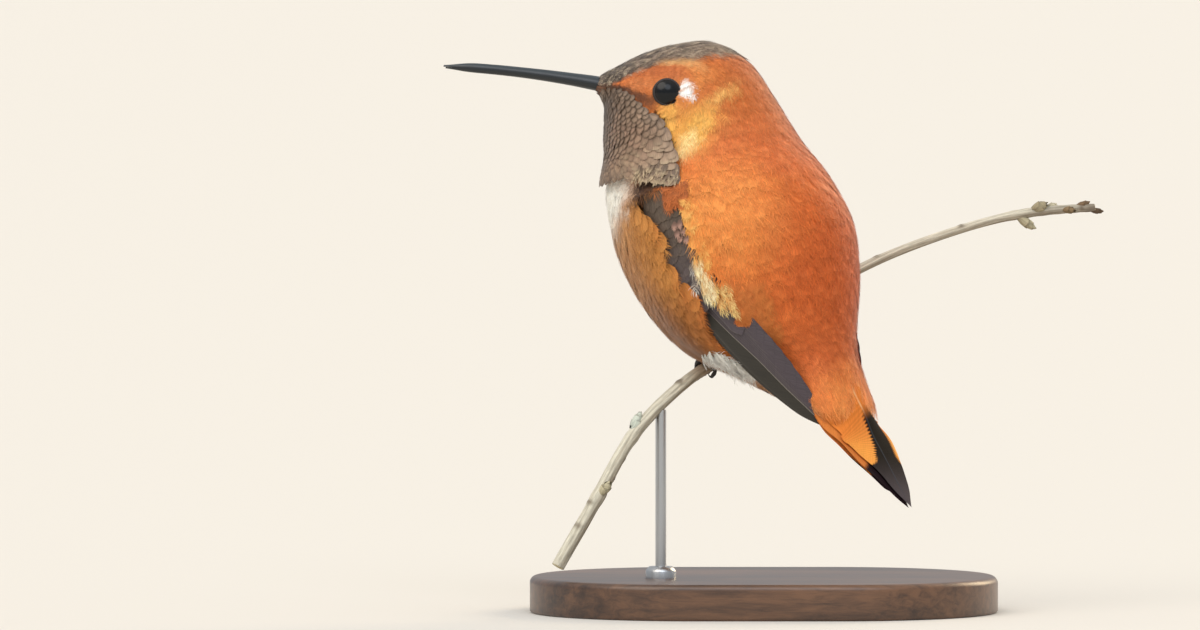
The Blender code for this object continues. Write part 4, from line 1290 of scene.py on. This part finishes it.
def twig_frame(share):
    """The twig's centre and its own axes: along it, away from the ground, and across."""
    share = np.asarray(share, float)
    ahead = unit(along(TWIG_LINE, share + 0.004) - along(TWIG_LINE, share - 0.004))
    up = unit(np.array([0, 0, 1]) - ahead * ahead[..., 2:])
    return along(TWIG_LINE, share), ahead, up, np.cross(ahead, up)


def joined(grids):
    """One list of points and faces from several open grids of points."""
    starts = np.cumsum([0] + [g.shape[0] * g.shape[1] for g in grids])
    faces = [grid_faces(*g.shape[:2]) + s for g, s in zip(grids, starts)]
    return np.concatenate([g.reshape(-1, 3) for g in grids]), np.concatenate(faces)


# Weathered bark: dry, matt and fibrous, with shallow grooves and pale and dark streaks, 0.2 mm wide and
# nine times as long.
bark_finish, tree, shader = new_material("dry_grooved_bark")
own = add(tree, "UVMap", uv_map="grain")
stretch = add(tree, "Mapping", {"Vector": own.outputs["UV"], "Scale": (0.55, 5.0, 1.0)})
noise = {"Vector": stretch.outputs["Vector"], "Scale": 1.0, "Detail": 5.0, "Roughness": 0.7}
fibre = add(tree, "TexNoise", noise)
tinted = shaded(tree, fibre, (0.3, 0.7), (0.62, 1.25))
bump = add(tree, "Bump", {"Height": fibre.outputs["Fac"], "Strength": 0.7, "Distance": 0.12 * MM})
wire(tree, shader, {"Base Color": tinted, "Roughness": 0.85, "Normal": bump.outputs["Normal"]})

GRAIN_LENGTH, GRAIN_GIRTH, KNOTS = 84, 4.2, 26
shares, turns = np.linspace(0, 1, 420)[:, None], np.linspace(0, 360, 49)[None, :]
centre, ahead, up, across = twig_frame(shares)
angle = np.radians(turns)
radius = along(TWIG_RADII, shares)
swell = sum(0.16 * np.exp(-(((shares - b[0] + 0.006) / 0.009) ** 2)) for b in BUDS)
rng = np.random.default_rng(51)
groove, knots = 0, 0
for n in (3, 5, 7, 8, 11):
    phase, pace, start = rng.uniform(0, 6.3), rng.uniform(20, 60), rng.uniform(0, 6.3)
    groove = groove + np.sin(angle * n + phase + 1.5 * np.sin(shares * pace + start))
for _ in range(KNOTS):
    far = ((shares - rng.uniform(0.02, 0.98)) / 0.004) ** 2
    knots = knots + np.exp(-far - ((np.cos(angle - rng.uniform(0, 6.3)) - 1) / 0.3) ** 2)
radius = radius * (0.97 + 0.012 * groove + swell * 0.8) + 0.07 * knots
ring = (up * np.cos(angle)[..., None] + across * np.sin(angle)[..., None]) * radius[..., None]
points = centre + ring
# The sawn ends: two more rings close each one.
ends = [centre[k] + ring[k] * f + ahead[k] * g for k, g in ((0, -0.05), (-1, 0.05)) for f in (0.9, 0.02)]
points = np.concatenate([[ends[1]], [ends[0]], points, [ends[2]], [ends[3]]])
grain = np.stack(np.broadcast_arrays(shares * GRAIN_LENGTH, turns / 360 * GRAIN_GIRTH), -1)
grain = np.concatenate([grain[:1]] * 2 + [grain] + [grain[-1:]] * 2)
# Painted light: the twig's upper side is painted paler and its underside darker. The grooves also shift the
# tone.
colours = between("948874", "CFC9B6", smooth(-1.0, 1.1, np.cos(angle - 0.3)) + 0.12 * groove)
colours = tinged(colours, "8A6A50", 0.6 * smooth(0.07, 0.02, np.abs(shares - 0.4)))
colours = tinged(colours, "5B4A38", 0.7 * np.clip(knots, 0, 1))
dark_tip = 0.5 * smooth(0.88, 0.93, shares) + 0.5 * smooth(0.965, 0.99, shares)
colours = tinged(colours, "5A4634", 0.7 * dark_tip)
wood = np.broadcast_to(linear("D3C6A2"), (2, *colours.shape[1:]))
colours = np.clip(np.concatenate([wood, colours, wood]), 0.02, 1)
twig = grid_piece("cut_twig", points, bark_finish, colours, {"grain": grain})
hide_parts("perch")

# Buds: each a spindle of six overlapping pointed scales.
grids, shades, grains = [], [], []
for share, turn, long, wide, lean, code in BUDS:
    centre, ahead, up, across = twig_frame(share)
    turn, lean = math.radians(turn), math.radians(lean)
    outward = up * math.cos(turn) + across * math.sin(turn)
    axis = ahead * math.cos(lean) + outward * math.sin(lean)
    root = centre + outward * along(TWIG_RADII, share) * 0.6
    first = unit(np.cross(axis, ahead + 0.3 * up))
    second = np.cross(axis, first)
    for k in range(6):
        t, round_ = np.linspace(0, 1, 16)[:, None], np.linspace(-1, 1, 11)[None, :]
        start, end = 0.1 * k, min(0.55 + 0.11 * k, 1.0)
        place = start + (end - start) * t
        body = along([0.55, 0.9, 1.0, 0.75, 0.12], place) * wide
        spread = 1.5 * np.sqrt(np.clip(1 - (np.clip(t - 0.35, 0, 1) / 0.65) ** 2, 0, 1))
        way = 2.4 * k + round_ * spread
        out = body * (1.0 - 0.045 * k) + 0.05 + 0.07 * t**3
        ring = first * np.cos(way)[..., None] + second * np.sin(way)[..., None]
        grids.append(root + axis * (place * long)[..., None] + ring * out[..., None])
        shade = linear(code) * (0.75 + 0.35 * t - 0.2 * np.abs(round_) ** 4)[..., None]
        shades.append(tinged(shade, "5E4A33", 0.7 * smooth(0.8, 1.0, t)))
        grains.append(np.stack(np.broadcast_arrays(place * long + 7 * k, way * body), -1))
points, faces = joined(grids)
colours = np.concatenate([s.reshape(-1, 3) for s in shades])
grain = np.concatenate([g.reshape(-1, 2) for g in grains])
buds = new_piece("twig_buds", points, faces, bark_finish, colours, {"grain": grain})

# Legs ---------------------------------------------------------------------------------------------------
# Short bare shanks and thin toes in ringed scutes, three forward and one back, closed round the twig,
# each ending in a curved sharp claw.

LEFT_FOOT, RIGHT_FOOT, LEG_ROOT = 0.378, 0.453, (-2.2, 2.6, -11.4)
TOE_RADIUS, TOE_SPACING = 0.3, 0.66
# Degrees round the twig at which the toes start, then each toe's place along it and where it ends.
KNUCKLE, TOES = 40.0, ((-1, -140), (0, -140), (1, -140), (0, 165))


def tube(line, radii, guide, sides=20):
    """Rings of points round a line, whose seam looks along the guide."""
    ahead = unit(np.gradient(line, axis=0))
    first = unit(guide - ahead * dot(ahead, np.asarray(guide))[:, None])
    turn = np.linspace(0, 2 * math.pi, sides + 1)[None, :, None]
    ring = first[:, None] * np.cos(turn) + np.cross(ahead, first)[:, None] * np.sin(turn)
    return line[:, None] + ring * np.asarray(radii)[:, None, None]


def round_twig(share, slide, degrees, radius):
    """Points round the twig, slid a few tenths of a millimetre along it."""
    pace = np.linalg.norm(along(TWIG_LINE, share + 0.004) - along(TWIG_LINE, share - 0.004)) / 0.008
    centre, ahead, up, across = twig_frame(share + slide / pace)
    turn = np.radians(degrees)[:, None]
    return centre + (up * np.cos(turn) + across * np.sin(turn)) * np.asarray(radius)[..., None]


# Scaly leg skin: nearly black, dry, with a faint shine on each scute. The scales are 0.2 mm across.
scute_finish, tree, shader = new_material("dry_leg_scutes")
coords = add(tree, "TexCoord")
cells = add(tree, "TexVoronoi", {"Vector": coords.outputs["Object"], "Scale": 5200.0})
ends = {0: cells.outputs["Distance"], 6: rgba("2B2624"), 7: rgba("15110F")}
tint = add(tree, "Mix", ends, data_type="RGBA")
bump = add(tree, "Bump", {"Height": cells.outputs["Distance"], "Strength": 0.6, "Distance": 0.04 * MM})
wire(tree, shader, {"Base Color": tint.outputs[2], "Roughness": 0.5, "Normal": bump.outputs["Normal"]})

for label, side, share in (("left", 1, LEFT_FOOT), ("right", -1, RIGHT_FOOT)):
    clear = along(TWIG_RADII, share) + TOE_RADIUS + 0.1
    along_twig = twig_frame(share)[1]
    knuckle = round_twig(share, 0, np.array([KNUCKLE]), clear + 0.2)[0]
    root = to_row(np.array([LEG_ROOT[0], LEG_ROOT[1] * side, LEG_ROOT[2]]))
    bend = root + (knuckle - root) * 0.6
    t = np.linspace(0, 1, 60)
    line = along([root, (root + bend) / 2, bend, (bend + knuckle) / 2, knuckle], t)
    scutes = 1 + 0.05 * (t * 16 % 1)
    grids = [tube(line, along([0.75, 0.6, 0.42, 0.38, 0.4], t) * scutes, along_twig)]
    claws = []
    for slide, last in TOES:
        t = np.linspace(0, 1, 80)
        pads = 1 + 0.1 * np.cos(t * 2 * math.pi * 2.5) + 0.07 * (t * 13 % 1)
        radii = TOE_RADIUS * 0.9 * pads * (1 - 0.35 * t**2) * np.sqrt(np.clip((1.003 - t) / 0.06, 0, 1))
        turns = KNUCKLE + (last - KNUCKLE) * t
        line = round_twig(share, slide * TOE_SPACING, turns, clear + 0.12 * smooth(0.15, 0, t))
        grids.append(tube(line, np.maximum(radii, 0.01), along_twig, 16))
        t = np.linspace(0, 1, 30)
        turns = last - 14 * np.sign(last) + 36 * np.sign(last) * t
        out = clear + 0.16 * np.sin(math.pi * t**0.8) - 0.27 * t**2
        line = round_twig(share, slide * TOE_SPACING, turns, out)
        claws.append(tube(line, 0.17 * (1 - t) ** 0.7 + 0.012, along_twig, 12))
    ball = round_twig(share, 0, np.array([KNUCKLE]), clear + 0.12)[0]
    t = np.linspace(-0.998, 0.998, 16)
    grids.append(tube(ball + along_twig * (t * 0.62)[:, None], 0.46 * np.sqrt(1 - t**2), [0, 0, 1]))
    points, faces = joined(grids)
    foot = new_piece(f"foot_{label}", points, faces, scute_finish)
    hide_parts(f"leg_{label}")
    points, faces = joined(claws)
    piece = new_piece(f"claws_{label}", points, faces, horn_finish, linear("14110F"))

# Stand base ---------------------------------------------------------------------------------------------
# A turned and sanded walnut board with rounded ends and softened edges, under satin varnish.

BASE_LENGTH, BASE_DEPTH, BASE_THICKNESS, BASE_CORNER, BASE_EDGE = 52.0, 38.0, 4.0, 18.0, 0.7
BASE_FOOT_EDGE, BASE_MEAN_REACH = 0.35, 22  # the reach is from the middle to the outline, on the average

# Satin-varnished walnut: dark grain that waves over 6 mm and pores 0.8 mm wide, all drawn out eight times
# along the board, under a thin smooth coat.
walnut_finish, tree, shader = new_material("walnut_satin_varnish")
coords = add(tree, "TexCoord")
stretch = add(tree, "Mapping", {"Vector": coords.outputs["Object"], "Scale": (0.12, 1.0, 1.0)})
bend = add(tree, "TexNoise", {"Vector": stretch.outputs["Vector"], "Scale": 160.0, "Detail": 3.0})
noise = {"Vector": stretch.outputs["Vector"], "Scale": 1300.0, "Detail": 6.0, "Roughness": 0.7}
grain = add(tree, "TexNoise", {**noise, "Distortion": 0.6})
blend = add(tree, "Math", {0: bend.outputs["Fac"], 1: grain.outputs["Fac"]}, operation="MULTIPLY")
tone = add(tree, "MapRange", {"Value": blend.outputs[0], "From Min": 0.13, "From Max": 0.38})
ends = {0: tone.outputs["Result"], 6: rgba("2E1D13"), 7: rgba("6E4C33")}
tint = add(tree, "Mix", ends, data_type="RGBA")
bump = add(tree, "Bump", {"Height": grain.outputs["Fac"], "Strength": 0.15, "Distance": 0.05 * MM})
wire(
    tree,
    shader,
    {
        "Base Color": tint.outputs[2],
        "Roughness": 0.42,
        "Coat Weight": 0.4,
        "Coat Roughness": 0.3,
        "Normal": bump.outputs["Normal"],
    },
)

turn = np.linspace(0, 2 * math.pi, 192, endpoint=False)
x = np.copysign(BASE_LENGTH / 2 - BASE_CORNER, np.cos(turn)) + np.cos(turn) * BASE_CORNER
y = np.copysign(BASE_DEPTH / 2 - BASE_CORNER, np.sin(turn)) + np.sin(turn) * BASE_CORNER
outline = np.stack([x, y, 0 * turn], -1)
round_off = [(1 - math.cos(a), 1 - math.sin(a)) for a in np.radians(np.linspace(0, 90, 9))]
profile = [(f, 0.0) for f in (0.001, 0.5, 0.98)]
profile += [(1 - BASE_FOOT_EDGE * s / (BASE_LENGTH / 2), BASE_FOOT_EDGE * c) for c, s in round_off]
profile += [(1 - BASE_EDGE * c / BASE_MEAN_REACH, BASE_THICKNESS - BASE_EDGE * s) for c, s in round_off]
profile += [(f, BASE_THICKNESS) for f in (0.9, 0.6, 0.3, 0.001)]
points = np.stack([outline * f + np.array([0, 0, h]) for f, h in profile])
base = grid_piece("walnut_board", points, walnut_finish, closed=True)
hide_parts("stand_base")

# Stand rod ----------------------------------------------------------------------------------------------
# A drawn steel rod with a small turned collar, pressed into the board and pushed up into the twig.

ROD_RADIUS, ROD_X, ROD_STOP = 0.6, -11.5, 0.62  # it stops under the twig's centre line, inside the bark
COLLAR_RADIUS, COLLAR_HEIGHT, COLLAR_TOP_RADIUS = 1.7, 1.3, 1.3

# Drawn steel: lengthwise lines that blur its highlights a little. The real ones are too fine to show, so
# they are drawn 0.1 mm apart.
steel_finish, tree, shader = new_material("drawn_satin_steel")
coords = add(tree, "TexCoord")
stretch = add(tree, "Mapping", {"Vector": coords.outputs["Object"], "Scale": (1.0, 1.0, 0.03)})
lines = add(tree, "TexNoise", {"Vector": stretch.outputs["Vector"], "Scale": 9000.0, "Detail": 3.0})
rough = add(tree, "MapRange", {"Value": lines.outputs["Fac"], "To Min": 0.24, "To Max": 0.42})
bump = add(tree, "Bump", {"Height": lines.outputs["Fac"], "Strength": 0.2, "Distance": 0.01 * MM})
wire(
    tree,
    shader,
    {
        "Base Color": rgba("B9BBBD"),
        "Metallic": 1.0,
        "Roughness": rough.outputs["Result"],
        "Normal": bump.outputs["Normal"],
    },
)

share = next(s for s in np.linspace(0, 1, 401) if along(TWIG_LINE, s)[0] >= ROD_X)
x, y, top = along(TWIG_LINE, share)
heights = np.linspace(BASE_THICKNESS, top - ROD_STOP, 40)
line = np.stack(np.broadcast_arrays(x, y, heights), -1)
collar = [
    (COLLAR_RADIUS, 0),
    (COLLAR_RADIUS, 0.75),
    (COLLAR_RADIUS - 0.06, 0.92),
    (COLLAR_TOP_RADIUS, COLLAR_HEIGHT),
    (ROD_RADIUS, COLLAR_HEIGHT + 0.03),
]
foot = np.array([(x, y, BASE_THICKNESS + h) for _, h in collar])
bar = tube(line, np.full(len(line), ROD_RADIUS), [1, 0, 0], 32)
points, faces = joined([bar, tube(foot, [r for r, _ in collar], [1, 0, 0], 48)])
rod = new_piece("steel_rod", points, faces, steel_finish)
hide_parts("stand_rod")

# Floor and light ----------------------------------------------------------------------------------------
# A plain pale paper sweep, large enough to fill the view, lit softly from the upper left, with a weaker
# fill in front and a warm light behind.

# Uncoated paper: matt, with a soft tooth of about a millimetre.
paper, tree, shader = new_material("matt_paper_floor")
coords = add(tree, "TexCoord")
tooth = add(tree, "TexNoise", {"Vector": coords.outputs["Object"], "Scale": 900.0, "Detail": 2.0})
bump = add(tree, "Bump", {"Height": tooth.outputs["Fac"], "Strength": 0.1, "Distance": 0.1 * MM})
wire(tree, shader, {"Base Color": rgba("DAD7D0"), "Roughness": 0.9, "Normal": bump.outputs["Normal"]})
reach = 15000.0
corners = np.array([(-reach, -reach, 0), (reach, -reach, 0), (reach, reach, 0), (-reach, reach, 0)])
mesh = bpy.data.meshes.new("floor")
mesh.from_pydata((corners * MM).tolist(), [], [(0, 1, 2, 3)])
mesh.materials.append(paper)
floor = bpy.data.objects.new("floor", mesh)
bpy.context.scene.collection.objects.link(floor)

world = bpy.data.worlds.new("studio")
world.use_nodes = True
tree = world.node_tree
# A soft box overhead: the light is whiter and stronger from above than from the sides.
coords = add(tree, "TexCoord")
split = add(tree, "SeparateXYZ", {0: coords.outputs["Generated"]})
height = add(tree, "MapRange", {"Value": split.outputs["Z"], "From Min": 0.0, "From Max": 0.9})
ends = {0: height.outputs["Result"], 6: rgba("C9CED4"), 7: rgba("FFFFFF")}
sky = add(tree, "Mix", ends, data_type="RGBA")
wire(tree, tree.nodes["Background"], {"Color": sky.outputs[2], "Strength": 0.78})
bpy.context.scene.world = world
bpy.context.scene.view_settings.view_transform = "Standard"

LIGHTS = [  # name, direction that it comes from, breadth in degrees, strength, colour
    ("key", (-0.6, -0.7, 0.95), 50, 1.45, "FFF6EA"),
    ("fill", (0.25, -1.0, 0.85), 36, 0.7, "EAF2FF"),
    ("rim", (0.75, 0.8, 0.5), 30, 1.4, "FFE6BE"),
]
for name, place, breadth, strength, code in LIGHTS:
    data = bpy.data.lights.new(name, "SUN")
    data.angle, data.energy = math.radians(breadth), strength
    data.color = linear(code)
    lamp = bpy.data.objects.new(name, data)
    lamp.rotation_euler = (-Vector(place)).to_track_quat("-Z", "Y").to_euler()
    bpy.context.scene.collection.objects.link(lamp)
